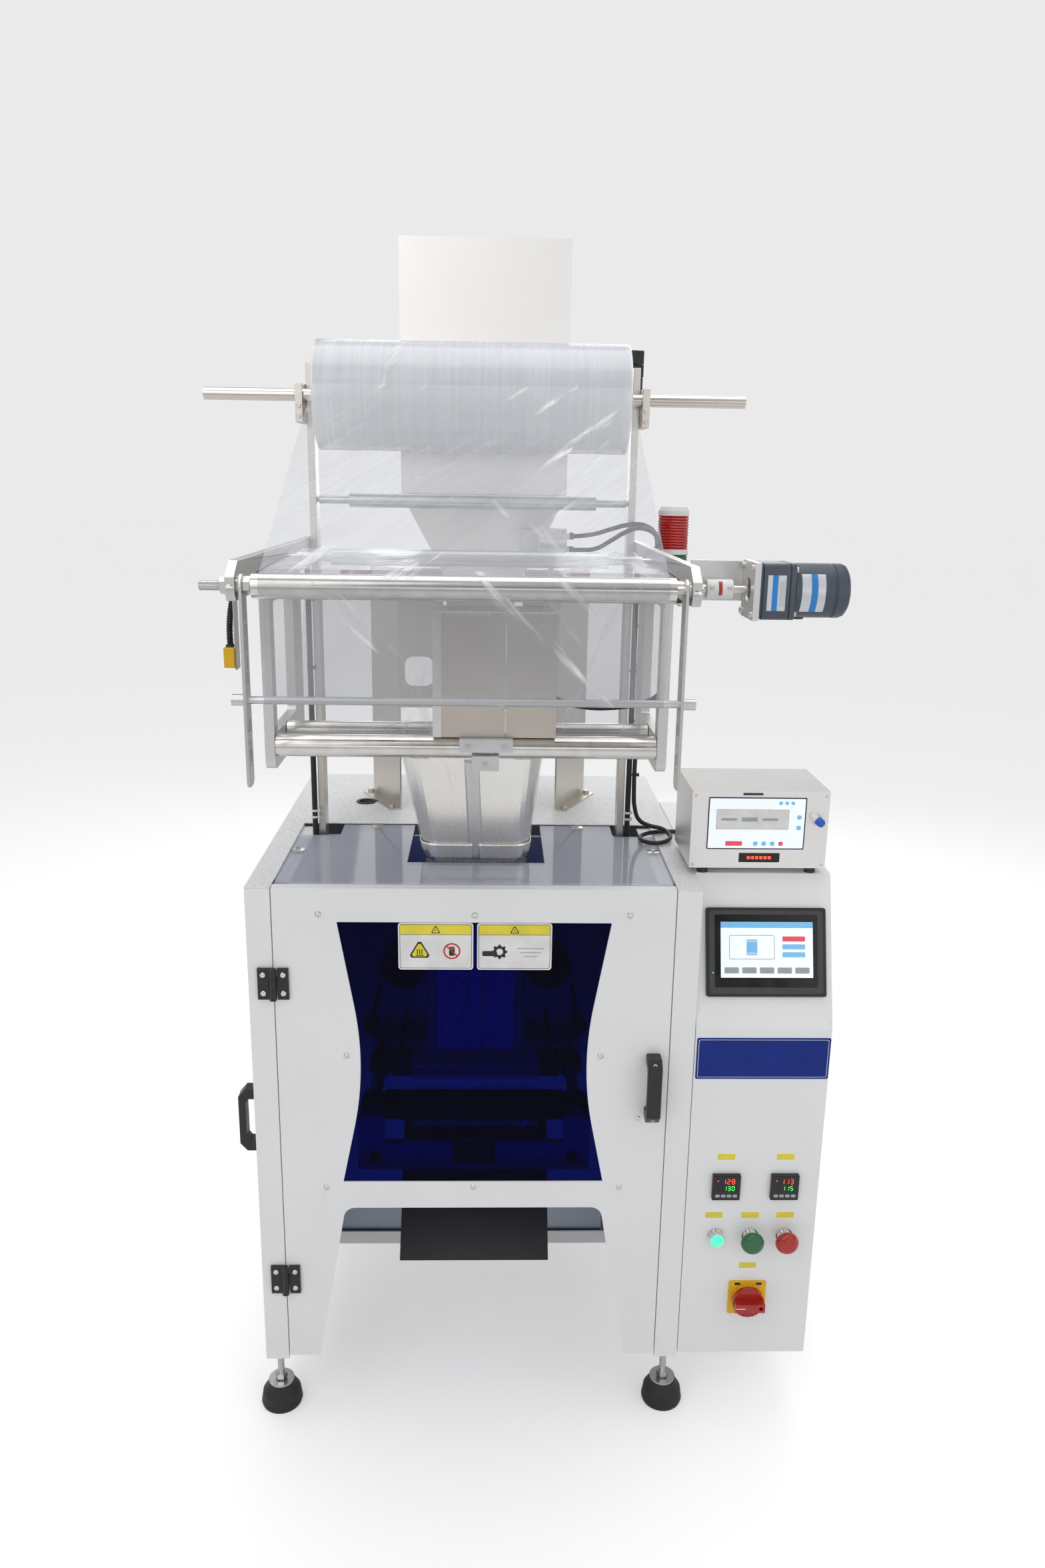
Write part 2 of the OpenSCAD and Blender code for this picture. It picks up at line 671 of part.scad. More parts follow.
module drive_shaft() {
  at_upper() color("silver") at_axis(drive_axis) {
    rod_x(1 - post_out, post_out - 1, [0, 0], 20);
    rod_x(-arm_out, 306, [0, 0], journal_d);
    rod_x(306, 321, [0, 0], idler_d);
    rod_x(321, 325, [0, 0], 22);
    rod_x(325, 340, [0, 0], idler_d);
    rod_x(340, 362, [0, 0], 10);
  }
}
module drive_sleeves() {
  at_upper() color("firebrick") at_axis(drive_axis) both_sides() difference() {
    rod_x(sleeve_x - 19, sleeve_x + 19, [0, 0], sleeve_d);
    rod_x(sleeve_x - 20, sleeve_x + 20, [0, 0], 20);
  }
}
module guide_roller_front() {
  at_upper() color("silver") at_axis(guide_front_axis) roller(loop_in - 1, roller_d, journal_d, post_out);
}
module guide_roller_rear() {
  at_upper() color("silver") at_axis(guide_rear_axis) roller(loop_in - 1, roller_d, journal_d, post_out);
}
module dancer_straps() {
  outline = concat(arc([roller_axis[0], roller_axis[1]], 15, 0, 180, 10),
    [[roller_axis[0] - 15, 1266], [roller_axis[0] - 10, 1260], [roller_axis[0] + 10, 1260],
      [roller_axis[0] + 15, 1266]]);
  at_upper() color("silver") both_sides() difference() {
    extrude_x(outline, strap_in, strap_out);
    rod_x(strap_in - 1, strap_out + 1, roller_axis, roller_shaft_d + 2 * running);
    rod_x(strap_in - 1, strap_out + 1, [roller_axis[0], bar_z], 6);
    for (z = [1290 : 20 : 1470]) if (abs(z - bar_z) > 12)
      rod_x(strap_in - 1, strap_out + 1, [roller_axis[0], z], 5);
  }
}
module dancer_bar() {
  at_upper() color("silver") at_axis([roller_axis[0], bar_z]) {
    rod_x(-strap_in, strap_in, [0, 0], bar_d);
    rod_x(-strap_out, strap_out, [0, 0], 6);
    both_sides() rod_x(strap_out, strap_out + 17, [0, 0], 15);
  }
}
module film_loop() {
  at_upper() color("white", 0.5) {
    extrude_x([[-296.2, 1373], [-295.2, 1373], [-304.2, 1478], [-305.2, 1478]], -film_w / 2, film_w / 2);
    extrude_x([[-284.8, 1373], [-283.8, 1373], [-273.4, 1478], [-274.4, 1478]], -film_w / 2, film_w / 2);
  }
}
module dancer_sensor() {
  at_upper() {
    color("silver") block([-arm_out - 2, -262, 1405], [-arm_out, -240, 1512]);
    color("gold") block([-arm_out - 16, -264, 1408], [-arm_out - 2, -238, 1434]);
  }
}

// ---------- feed motor ----------
module gearmotor() {
  at_machine() color("slategray") {
    difference() {
      block([358, drive_axis[0] - 35, drive_axis[1] - 35], [403, drive_axis[0] + 35, drive_axis[1] + 35]);
      rod_x(357, 362, drive_axis, 20);
    }
    rod_x(403, 475, drive_axis, 70);
  }
}
module motor_bracket() {
  at_machine() color("silver") {
    difference() {
      block([350, drive_axis[0] - 36, drive_axis[1] - 36], [358, drive_axis[0] + 36, drive_axis[1] + 36]);
      rod_x(349, 359, drive_axis, 30);
    }
    block([arm_face, drive_axis[0] + 36, 1497], [358, drive_axis[0] + 42, 1549]);
  }
}

// ---------- product path ----------
module slab(x, y, z) { translate([x[0], y[0], z]) cube([x[1] - x[0], y[1] - y[0], 0.01]); }
// The funnel's outer form, or with t over 0 the space inside its sheet
module funnel(t) {
  hull() {
    slab([hopper_x - hopper_w / 2 + t, hopper_x + hopper_w / 2 - t], [hopper_y[0] + t, hopper_y[1] - t],
      funnel_z + t / 4);
    slab([outlet_x[0] + t, outlet_x[1] - t], [outlet_y[0] + t, outlet_y[1] - t], outlet_z - t / 4);
  }
}
module hopper() {
  at_machine() color("silver") {
    difference() {
      block([hopper_x - hopper_w / 2, hopper_y[0], funnel_z],
        [hopper_x + hopper_w / 2, hopper_y[1], hopper_z]);
      block([hopper_x - hopper_w / 2 + sheet, hopper_y[0] + sheet, funnel_z - 1],
        [hopper_x + hopper_w / 2 - sheet, hopper_y[1] - sheet, hopper_z + 1]);
    }
    difference() {
      funnel(0);
      funnel(sheet);
    }
    difference() {
      extrude_x(spout_outer, outlet_x[0], outlet_x[1]);
      extrude_x(spout_inner, outlet_x[0] + sheet, outlet_x[1] - sheet);
      block([outlet_x[0] + sheet, gate_y - 1.6, 1370], [outlet_x[1] - sheet, gate_y + 1.6, 1430]);
    }
  }
}
module gate() {
  at_machine() color("silver") {
    block([-47.4, gate_y - 1, 1362], [63.4, gate_y + 1, 1440]);
    block([63.4, gate_y - 1, 1428], [138, gate_y + 1, 1440]);
    block([120, cylinder_y - 9, 1434], [138, gate_y - 1, 1440]);
    rod_z([cylinder_x, cylinder_y], 1440, 1517, gate_rod_d);
  }
}
module gate_cylinder() {
  at_machine() color("whitesmoke") {
    difference() {
      block([104, 333, 1514], [154, 377, 1564]);
      rod_z([cylinder_x, cylinder_y], 1513, 1562, gate_rod_d + 2 * running);
    }
    block([74, 371, 1520], [104, 377, 1558]);
    extrude_x([[377, 1520], [377, 1558], [413.2, 1558], [421.6, 1520]], 74, 98);
    for (z = [1527, 1551]) rod_x(154, 155, [cylinder_y, z], 10);
    block([arm_face, 215, 1499], [318, 262, 1531]);
  }
}
module stand_side() {
  low = [150, 455];
  high = [215, 590];
  out = unit([high[1] - low[1], low[0] - high[0]]);
  wall = [low, high, high + 3 * out, low + 3 * out];
  foot = [low + 3 * out, high + 3 * out, high + 26 * out, low + 26 * out];
  translate([0, 0, deck_z]) linear_extrude(464) polygon(wall);
  translate([0, 0, deck_z]) linear_extrude(3) polygon(foot);
  for (p = [low + [6, 8], high - [6, 8]])
    translate([p[0] + 15 * out[0], p[1] + 15 * out[1], deck_z + 3]) cylinder(d = 12, h = 6, $fn = 6);
}
module hopper_stand() {
  at_machine() color("silver") {
    both_sides() stand_side();
    difference() {
      block([-215, 455, 1480], [215, 590, 1483]);
      block([-70, 429, 1479], [86, 563, 1484]);
      both_sides() linear_extrude(3000) polygon([[152, 450], [221, 592], [240, 592], [240, 450]]);
    }
    difference() {
      block([-152, 452, 1220], [-68, 455.5, 1480]);
      extrude_y(round_box([-141, 1262], [-86, 1318], 16), 450, 457);
    }
    block([84, 452, 1220], [152, 455.5, 1480]);
  }
}
function tube_outline(half, y0, y1, r) = round_box([-half, y0], [half, y1], r);
// The forming collar stands on the deck's level, just above the forming tube
module former() {
  at_machine() color("silver") {
    difference() {
      hull() {
        translate([former_x, 0, former_top]) linear_extrude(0.01)
          polygon(tube_outline(former_half, 120, 280, 40));
        translate([0, 0, deck_z]) linear_extrude(0.01)
          polygon(tube_outline(tube_half, tube_y[0], tube_y[1], 25));
      }
      hull() {
        translate([former_x, 0, former_top]) linear_extrude(1)
          polygon(tube_outline(former_half - 1.5, 121.5, 278.5, 38.5));
        translate([0, 0, deck_z - 1]) linear_extrude(1)
          polygon(tube_outline(tube_half - 1.5, tube_y[0] + 1.5, tube_y[1] - 1.5, 23.5));
      }
    }
    difference() {
      translate([0, 0, 660]) linear_extrude(deck_z - 0.2 - 660)
        polygon(tube_outline(tube_half, tube_y[0], tube_y[1], 25));
      translate([0, 0, 659]) linear_extrude(deck_z - 657)
        polygon(tube_outline(tube_half - 1.5, tube_y[0] + 1.5, tube_y[1] - 1.5, 23.5));
    }
    both_sides() block([40, tube_y[1] - 1, 900], [60, plate_y, 906]);
  }
}

// ---------- inside the cabinet ----------
module jaw_rods() {
  at_machine() color("silver") {
    both_sides() difference() {
      rod_y([jaw_rod_x, jaw_rod_z], 52, plate_y, jaw_rod_d);
      rod_y([jaw_rod_x, jaw_rod_z], 51, 60, 8);
    }
    block([-200, 40, 484], [200, 52, 536]);
    both_sides() block([155, 40, 536], [200, 52, 584]);
  }
}
module jaw_bearing(y0) {
  both_sides() difference() {
    rod_y([jaw_rod_x, jaw_rod_z], y0, y0 + jaw_depth, 46);
    rod_y([jaw_rod_x, jaw_rod_z], y0 - 1, y0 + jaw_depth + 1, jaw_rod_d + 2 * running);
  }
}
// One jaw across the rods, with a slot for the knife from slot[0] to slot[1]
module jaw(y0, slot) {
  at_machine() color("dimgray") {
    difference() {
      block([-160, y0, jaw_rod_z - 20], [160, y0 + jaw_depth, jaw_rod_z + 20]);
      block([-125, slot[0], knife_z - 2.5], [125, slot[1], knife_z + 2.5]);
      both_sides() rod_y([jaw_rod_x, jaw_rod_z], y0 - 1, y0 + jaw_depth + 1, 46);
    }
    jaw_bearing(y0);
  }
}
module front_jaw() { jaw(jaw_y[0], [jaw_y[0] + 15, jaw_y[0] + jaw_depth + 1]); }
module rear_jaw() {
  jaw(jaw_y[1], [jaw_y[1] - 1, jaw_y[1] + jaw_depth - 4]);
  at_machine() color("dimgray") rod_y([0, jaw_rod_z], jaw_y[1] + jaw_depth, plate_y + 90, push_rod_d);
}
module knife() {
  at_machine() color("silver") block([-120, jaw_y[1] + 2, knife_z - 1], [120, jaw_y[1] + 30, knife_z + 1]);
}
module pull_wheel(side) {
  at_machine() color("dimgray") {
    rod_y([side * wheel_x, wheel_z], wheel_y[0], wheel_y[1], wheel_d);
    rod_y([side * wheel_x, wheel_z], wheel_y[1], plate_y + plate_t - 1, wheel_shaft_d);
  }
}
module pull_wheel_left() { pull_wheel(-1); }
module pull_wheel_right() { pull_wheel(1); }
module vertical_sealer() {
  at_machine() color("silver") {
    block([-8, 100, 700], [8, 122, 930]);
    block([-8, 100, 930], [sealer_rod[0] + 10, 122, 950]);
    rod_y(sealer_rod, 122, plate_y + plate_t + 4, sealer_rod_d);
  }
}
module inner_drives() {
  at_machine() color("dimgray") {
    both_sides() {
      rod_y([wheel_x, wheel_z], plate_y + 14, plate_y + 90, 76);
      block([wheel_x - 42, plate_y + plate_t, wheel_z - 42], [wheel_x + 42, plate_y + 14, wheel_z + 42]);
      rod_y([185, 701], 150, 168, 30);
      rod_y([185, 701], 168, plate_y, 8);
      rod_y([134, 650], 150, 162, 18);
      rod_y([134, 650], 162, plate_y, 6);
    }
    difference() {
      block([-40, plate_y + plate_t, jaw_rod_z - 40], [40, plate_y + 130, jaw_rod_z + 40]);
      rod_y([0, jaw_rod_z], plate_y, plate_y + 100, 30);
    }
  }
}
module chute() {
  at_machine() color("dimgray")
    extrude_x([[150, 216], [plate_y, 430], [plate_y, 433], [148, 218.5]], -140, 140);
}

// ---------- signal tower ----------
module signal_tower() {
  at_machine() color("firebrick") {
    for (s = tower_steps) rod_z(tower, s[0], s[1], s[2]);
    block([arm_face, post_y[0] + 1, tower_steps[0][0] - bracket_t], [378, post_y[1] - 1, tower_steps[0][0]]);
    block([arm_face, post_y[0] + 1, tower_steps[0][0]], [arm_face + bracket_t, post_y[1] - 1, 1540]);
  }
}

// ---------- film ----------
module film_web() {
  at_upper() color("white", 0.5) {
    extrude_x([[191, 1770], [192, 1770], [-288, 1531.8], [-289, 1531.8]], -film_w / 2, film_w / 2);
    extrude_x([[-250, 1533.6], [-250, 1534.6], [60, 1541], [60, 1540]], -film_w / 2, film_w / 2);
    extrude_x([[62, 1528], [63, 1528], [-77.6, 1300], [-78.8, 1300]], -film_w / 2, film_w / 2);
  }
  at_machine() color("white", 0.5) {
    for (z = [[470, 556], [568, 620]]) block([-120, 199.5, z[0]], [120, 200.5, z[1]]);
  }
}

// ---------- cables ----------
module held_cables() {
  at_upper() color("dimgray") both_sides() cord_tube(conduit_route, 10);
  at_machine() color("dimgray") {
    cord_tube(upper_tube_route, 8);
    cord_tube(lower_tube_route, 8);
  }
}
module print_head_cable() { at_machine() color("dimgray") cord_tube(head_cable_route, 8); }

front_frame();
cabinet_panels();
deck();
floor_pan();
machine_plate();
deck_cover();
frame_fasteners();
rubber_feet();
fixed_hinge_leaves();
control_cabinet();
panel_displays();
panel_bezels();
coder_case();
posts();
arm_plates();
shaft_cradles();
guide_loops();
print_head_box();
hopper();
hopper_stand();
former();
gate_cylinder();
gearmotor();
motor_bracket();
dancer_sensor();
inner_drives();
jaw_rods();
chute();
signal_tower();
film_web();
held_cables();
print_head_cable();
door_shell();
door_window();
door_screws();
door_handle();
door_hinge_leaves();
side_door();
roll_shaft();
film_roll();
upper_idler();
lower_idler();
front_roller();
drive_shaft();
drive_sleeves();
guide_roller_front();
guide_roller_rear();
dancer_straps();
dancer_bar();
film_loop();
pull_wheel_left();
pull_wheel_right();
front_jaw();
rear_jaw();
knife();
vertical_sealer();
gate();
green_button();
red_button();
switch_knob();
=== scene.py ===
"""A vertical form fill sealer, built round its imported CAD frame.

Lengths below are millimetres in the machine's own axes: X to the right of the cabinet's
middle, Y back from its front face, Z up from the floor. at() turns them into the frame's metres.
"""

import math
import random

import bmesh
import bpy
from mathutils import Matrix, Vector


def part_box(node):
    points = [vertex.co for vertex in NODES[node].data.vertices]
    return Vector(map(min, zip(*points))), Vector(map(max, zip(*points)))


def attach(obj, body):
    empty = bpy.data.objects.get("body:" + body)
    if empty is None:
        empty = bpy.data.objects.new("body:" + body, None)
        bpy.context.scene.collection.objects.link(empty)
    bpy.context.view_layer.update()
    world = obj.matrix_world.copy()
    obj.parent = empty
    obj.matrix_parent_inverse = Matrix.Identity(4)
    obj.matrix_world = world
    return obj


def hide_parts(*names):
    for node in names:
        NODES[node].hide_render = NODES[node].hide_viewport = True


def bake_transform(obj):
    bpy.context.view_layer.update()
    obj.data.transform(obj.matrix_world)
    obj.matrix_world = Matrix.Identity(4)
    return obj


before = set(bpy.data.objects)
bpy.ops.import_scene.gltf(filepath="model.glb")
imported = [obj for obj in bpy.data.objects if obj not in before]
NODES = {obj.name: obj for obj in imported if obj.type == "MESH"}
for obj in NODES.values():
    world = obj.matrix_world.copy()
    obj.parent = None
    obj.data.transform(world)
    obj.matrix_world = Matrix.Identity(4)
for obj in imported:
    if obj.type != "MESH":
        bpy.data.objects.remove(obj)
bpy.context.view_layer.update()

MM = 0.001
DECK_LOW, DECK_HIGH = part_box("deck")
MIDDLE = Vector(((DECK_LOW.x + DECK_HIGH.x) / 2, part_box("front_frame")[0].y, 0))
DECK_Z = round(DECK_HIGH.z / MM)


def at(x, y, z):
    """A point in the machine's millimetres, as a point in the frame's metres."""
    return MIDDLE + Vector((x, y, z)) * MM


def span_of(node):
    """A CAD node's lowest and highest corners, in the machine's millimetres."""
    return tuple((corner - MIDDLE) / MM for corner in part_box(node))


# ---------- camera ----------
LENS = 26.535
CAMERA_PLACE = (22.2, -1737.0, 1646.7)
YAW, PITCH, ROLL = (math.radians(a) for a in (1.686, 14.765, 0.898))


def make_camera():
    """The photograph's viewing angle: turned a little to the right, tipped down, rolled a touch."""
    camera = bpy.data.objects.new("camera", bpy.data.cameras.new("camera"))
    bpy.context.scene.collection.objects.link(camera)
    ahead = Vector((math.sin(YAW) * math.cos(PITCH), math.cos(YAW) * math.cos(PITCH), -math.sin(PITCH)))
    right = Vector((math.cos(YAW), -math.sin(YAW), 0))
    down = ahead.cross(right)
    rolled_right = math.cos(ROLL) * right - math.sin(ROLL) * down
    rolled_down = math.sin(ROLL) * right + math.cos(ROLL) * down
    turn = Matrix((rolled_right, -rolled_down, -ahead)).transposed().to_4x4()
    camera.matrix_world = Matrix.Translation(at(*CAMERA_PLACE)) @ turn
    camera.data.lens = LENS
    camera.data.sensor_width = 36
    camera.data.clip_end = 60
    bpy.context.scene.camera = camera


make_camera()


# ---------- node materials ----------
class Shader:
    """Builds one node material round its Principled shader."""

    def __init__(self, name, colour=(0.8, 0.8, 0.8), rough=0.5, metal=0.0, **sockets):
        self.material = bpy.data.materials.new(name)
        self.material.use_nodes = True
        self.tree = self.material.node_tree
        self.bsdf = self.tree.nodes["Principled BSDF"]
        self.bsdf.inputs["Base Color"].default_value = (*colour, 1)
        self.bsdf.inputs["Roughness"].default_value = rough
        self.bsdf.inputs["Metallic"].default_value = metal
        for name, value in sockets.items():
            self.bsdf.inputs[name.replace("_", " ")].default_value = value

    def add(self, kind, **inputs):
        node = self.tree.nodes.new("ShaderNode" + kind)
        for name, value in inputs.items():
            self.set(node, name.replace("_", " "), value)
        return node

    def set(self, node, name, value):
        if isinstance(value, bpy.types.NodeSocket):
            self.tree.links.new(value, node.inputs[name])
        else:
            node.inputs[name].default_value = value

    def place(self, stretch=(1, 1, 1), turn=(0, 0, 0)):
        """Object coordinates, turned by some degrees and then stretched."""
        coordinates = self.add("TexCoord").outputs["Object"]
        if any(turn):
            rotate = self.add("VectorRotate", Vector=coordinates)
            rotate.rotation_type = "EULER_XYZ"
            rotate.inputs["Rotation"].default_value = [math.radians(a) for a in turn]
            coordinates = rotate.outputs["Vector"]
        return self.add("Mapping", Vector=coordinates, Scale=stretch).outputs["Vector"]

    def noise(self, scale, stretch=(1, 1, 1), detail=2.0, rough=0.5, turn=(0, 0, 0)):
        place = self.place(stretch, turn)
        return self.add("TexNoise", Vector=place, Scale=scale, Detail=detail, Roughness=rough).outputs["Fac"]

    def ramp(self, value, *stops):
        node = self.add("ValToRGB", Fac=value)
        elements = node.color_ramp.elements
        while len(elements) < len(stops):
            elements.new(0.5)
        for element, (place, colour) in zip(elements, stops):
            element.position = place
            element.color = (*colour, 1)
        return node.outputs["Color"]

    def span(self, value, low, high, start=0.3, stop=0.7):
        """The value stretched from start..stop to low..high, for a roughness or a weight."""
        node = self.add("MapRange", Value=value)
        for name, number in (("From Min", start), ("From Max", stop), ("To Min", low), ("To Max", high)):
            node.inputs[name].default_value = number
        return node.outputs["Result"]

    def maths(self, operation, a, b=0.0):
        node = self.add("Math")
        node.operation = operation
        self.set(node, 0, a)
        self.set(node, 1, b)
        return node.outputs["Value"]

    def bump(self, height, depth, strength=1.0):
        return self.add("Bump", Height=height, Distance=depth, Strength=strength).outputs["Normal"]

    def link(self, name, value):
        self.tree.links.new(value, self.bsdf.inputs[name])
        return self

    def mix(self, amount, a, b):
        node = self.add("Mix")
        node.data_type = "RGBA"
        for name, value in (("Factor", amount), ("A", a), ("B", b)):
            socket = next(s for s in node.inputs if s.name == name and s.enabled)
            if isinstance(value, bpy.types.NodeSocket):
                self.tree.links.new(value, socket)
            else:
                socket.default_value = value if name == "Factor" else (*value, 1)
        return next(s for s in node.outputs if s.enabled)


def shade(colour, amount):
    return tuple(min(1.0, c * amount) for c in colour)


def powder_coat(name, colour, grain=900, depth=0.00012, rough=0.42):
    """Sprayed powder: a fine orange-peel surface, with slight handling marks."""
    s = Shader(name, colour, rough)
    smudge = s.noise(5, detail=4)
    s.link("Base Color", s.ramp(smudge, (0.3, shade(colour, 0.96)), (0.7, colour)))
    s.link("Roughness", s.span(smudge, rough - 0.05, rough + 0.08))
    s.link("Normal", s.bump(s.noise(grain, detail=3), depth, 0.5))
    return s.material


def pit_shaded_coat(name, colour, dark):
    """Textured deck paint: coarse raised grains, with painted shade in the pits between them."""
    s = Shader(name, colour, 0.5)
    grains = s.noise(330, detail=3, rough=0.6)
    # painted shade: the colour darkens where the grains' bump is low, in the pits
    s.link("Base Color", s.ramp(grains, (0.36, dark), (0.5, colour)))
    s.link("Roughness", s.span(grains, 0.65, 0.42))
    s.link("Normal", s.bump(grains, 0.0009, 0.6))
    return s.material


def brushed(name, colour, stretch, rough=0.3, depth=0.00003, cloud=0.88, streak=0.86):
    """Sheet or bar metal with its brushing along the axis that stretch leaves short."""
    s = Shader(name, colour, rough, 1.0)
    lines = s.noise(1, stretch, detail=4, rough=0.65)
    clouds = s.noise(4.5, detail=3)
    tone = s.ramp(clouds, (0.3, shade(colour, cloud)), (0.7, colour))
    s.link("Base Color", s.mix(s.span(lines, 0.0, 0.6), tone, shade(colour, streak)))
    s.link("Roughness", s.span(lines, rough - 0.06, rough + 0.12))
    s.link("Normal", s.bump(lines, depth, 0.3))
    return s.material


def turned_roller(name, colour, rough=0.12):
    """A polished roller: fine rings round it from turning and polishing."""
    s = Shader(name, colour, rough, 1.0)
    wear = s.noise(40, detail=3)
    rings = s.noise(1, (900, 6, 6), detail=3)
    s.link("Base Color", s.ramp(wear, (0.35, shade(colour, 0.88)), (0.65, colour)))
    s.link("Roughness", s.span(rings, rough, rough + 0.12))
    return s.material


def plastic(name, colour, rough=0.4, grain=600, depth=0.00006, **sockets):
    """Moulded plastic or rubber with a fine tool texture."""
    s = Shader(name, colour, rough, **sockets)
    wear = s.noise(30, detail=4)
    s.link("Base Color", s.ramp(wear, (0.35, shade(colour, 0.88)), (0.65, colour)))
    s.link("Roughness", s.span(wear, rough - 0.05, rough + 0.1))
    s.link("Normal", s.bump(s.noise(grain), depth, 0.5))
    return s.material


def glowing(name, colour, strength, rough=0.25):
    """A lit lens or display, a little uneven over its face."""
    s = Shader(name, colour, rough, Emission_Color=(*colour, 1), Emission_Strength=strength)
    spots = s.noise(250)
    s.link("Base Color", s.ramp(spots, (0.3, shade(colour, 0.85)), (0.7, colour)))
    s.link("Roughness", s.span(spots, rough - 0.05, rough + 0.05))
    return s.material


def clear_film(name, colour, least, most, turn, rough=0.06, crease=1.0):
    """Clear film: open when faced, denser at a glance, with folds along one diagonal that carry painted
    highlights.
    """
    s = Shader(name, colour, rough, IOR=1.5)
    facing = s.add("LayerWeight", Blend=0.3).outputs["Facing"]
    clouds = s.noise(6, detail=3)
    folds = s.noise(1, (34, 5, 5), detail=5, rough=0.55, turn=turn)
    cross_folds = s.noise(1, (26, 4, 4), detail=4, turn=[-a * 0.7 for a in turn])
    # painted highlights: along the folds the film is made denser, standing for light glinting off them
    strong = s.span(folds, 0.0, 0.5 * crease, 0.62, 0.76)
    weak = s.span(cross_folds, 0.0, 0.35 * crease, 0.66, 0.8)
    crease_highlights = s.maths("MAXIMUM", strong, weak)
    veil = s.maths("ADD", s.span(facing, least, most, 0.0, 1.0), s.span(clouds, -0.03, 0.06))
    s.link("Alpha", s.maths("ADD", veil, crease_highlights))
    tone = s.ramp(clouds, (0.3, shade(colour, 0.93)), (0.7, colour))
    # the folds' painted highlights also turn the colour near white
    s.link("Base Color", s.mix(s.maths("MULTIPLY", crease_highlights, 2.4), tone, (0.97, 0.97, 0.98)))
    s.link("Normal", s.bump(folds, 0.006 * crease, 0.6))
    return s.material


def smoked_sheet(name, colour, least, most):
    """Clear grey-blue acrylic: the edges and far parts look denser."""
    s = Shader(name, colour, 0.04, IOR=1.5)
    facing = s.add("LayerWeight", Blend=0.35).outputs["Facing"]
    s.link("Alpha", s.span(facing, least, most, 0.0, 1.0))
    s.link("Roughness", s.span(s.noise(8, detail=4), 0.03, 0.09))
    return s.material


def tinted_pane(name, colour, passed):
    """A coloured acrylic pane that lets lamps through in its own tint."""
    s = Shader(name, colour, 0.03, Transmission_Weight=1.0, IOR=1.14)
    s.link("Roughness", s.span(s.noise(3, detail=4), 0.02, 0.06))
    clear = s.add("BsdfTransparent", Color=(*passed, 1))
    lamps = s.add("LightPath").outputs["Is Shadow Ray"]
    mixed = s.add("MixShader", Fac=lamps)
    s.tree.links.new(s.bsdf.outputs[0], mixed.inputs[1])
    s.tree.links.new(clear.outputs[0], mixed.inputs[2])
    s.tree.links.new(mixed.outputs[0], s.tree.nodes["Material Output"].inputs["Surface"])
    return s.material


def wound_film():
    """Many turns of clear film: milky, with soft bands along the roll and fine turn lines."""
    colour = (0.82, 0.84, 0.86)
    s = Shader("wound_film", colour, 0.22, Subsurface_Weight=0.15, Coat_Weight=0.5, Coat_Roughness=0.12)
    bands = s.noise(1, (120, 1.5, 1.5), detail=5, rough=0.6)
    clouds = s.noise(9, detail=3)
    tone = s.ramp(bands, (0.34, shade(colour, 0.94)), (0.5, colour), (0.66, (0.88, 0.90, 0.92)))
    s.link("Base Color", s.mix(s.span(clouds, 0.0, 0.3), tone, (0.78, 0.80, 0.82)))
    s.link("Roughness", s.span(bands, 0.16, 0.34))
    s.link("Normal", s.bump(bands, 0.0006, 0.5))
    return s.material


WARM_STEEL = (0.74, 0.70, 0.64)
COOL_STEEL = (0.70, 0.69, 0.67)
PAINT = powder_coat("cabinet_paint", (0.86, 0.865, 0.87))
DECK_PAINT = pit_shaded_coat("deck_paint", (0.82, 0.83, 0.84), (0.62, 0.63, 0.65))
SHEET_STEEL = brushed("brushed_sheet_upright", WARM_STEEL, (2600, 2600, 14))
PLATE_STEEL = brushed("brushed_plate_along", COOL_STEEL, (2600, 14, 2600))
BAR_STEEL = brushed("turned_bar", WARM_STEEL, (1800, 30, 30), rough=0.2, cloud=0.95)
CHROME = brushed("polished_screw", (0.80, 0.79, 0.77), (500, 500, 500), rough=0.14, depth=0.00001)
ROLLER_CHROME = turned_roller("chromed_roller", (0.80, 0.78, 0.74))
# polished steel of the former and its strips; its near-white colour, brighter than the other steel, is
# painted light
LIT_FORMED_STEEL = brushed("lit_formed_steel", (0.98, 0.96, 0.92), (1500, 1500, 12), rough=0.2, cloud=0.84,
                       streak=0.95)
# painted shade: a dark copy of the brushed steel for the top of the coder's case
SHADED_STEEL = brushed("shaded_lid_steel", (0.42, 0.41, 0.40), (14, 2600, 2600), rough=0.36)
# painted light: a near-white copy of the stainless, brighter than the other sheet steel, for the strong light
# from above; used on the hopper and the coder's case
LIT_STEEL = brushed("lit_steel_sheet", (0.98, 0.965, 0.94), (1500, 1500, 12), rough=0.36, cloud=0.95,
                       streak=0.95)
CLOUDY_STEEL = brushed("worn_sheet", (0.66, 0.61, 0.55), (900, 900, 30), rough=0.34, cloud=0.7)
ALUMINIUM = brushed("anodised_aluminium", (0.76, 0.76, 0.75), (700, 700, 700), rough=0.36)
SATIN_ROD = brushed("satin_rod", (0.74, 0.76, 0.78), (900, 12, 12), rough=0.32)
ZINC = brushed("zinc_plated", (0.70, 0.70, 0.68), (900, 900, 900), rough=0.26)
BLUE_STEEL = brushed("inner_plate", (0.42, 0.47, 0.55), (12, 1800, 1800), rough=0.42)
BLACK = plastic("black_moulding", (0.018, 0.018, 0.02), 0.36)
BLACK_METAL = powder_coat("black_coat", (0.02, 0.02, 0.022), grain=700, rough=0.45)
RUBBER = plastic("rubber", (0.02, 0.02, 0.02), 0.5, grain=900)
SILICONE = plastic("red_silicone", (0.42, 0.035, 0.02), 0.4)
WHITE = plastic("white_moulding", (0.80, 0.80, 0.79), 0.35)
GREY_BLOCK = plastic("pale_grey_moulding", (0.62, 0.63, 0.64), 0.4)
YELLOW = plastic("yellow_moulding", (0.86, 0.50, 0.01), 0.35)
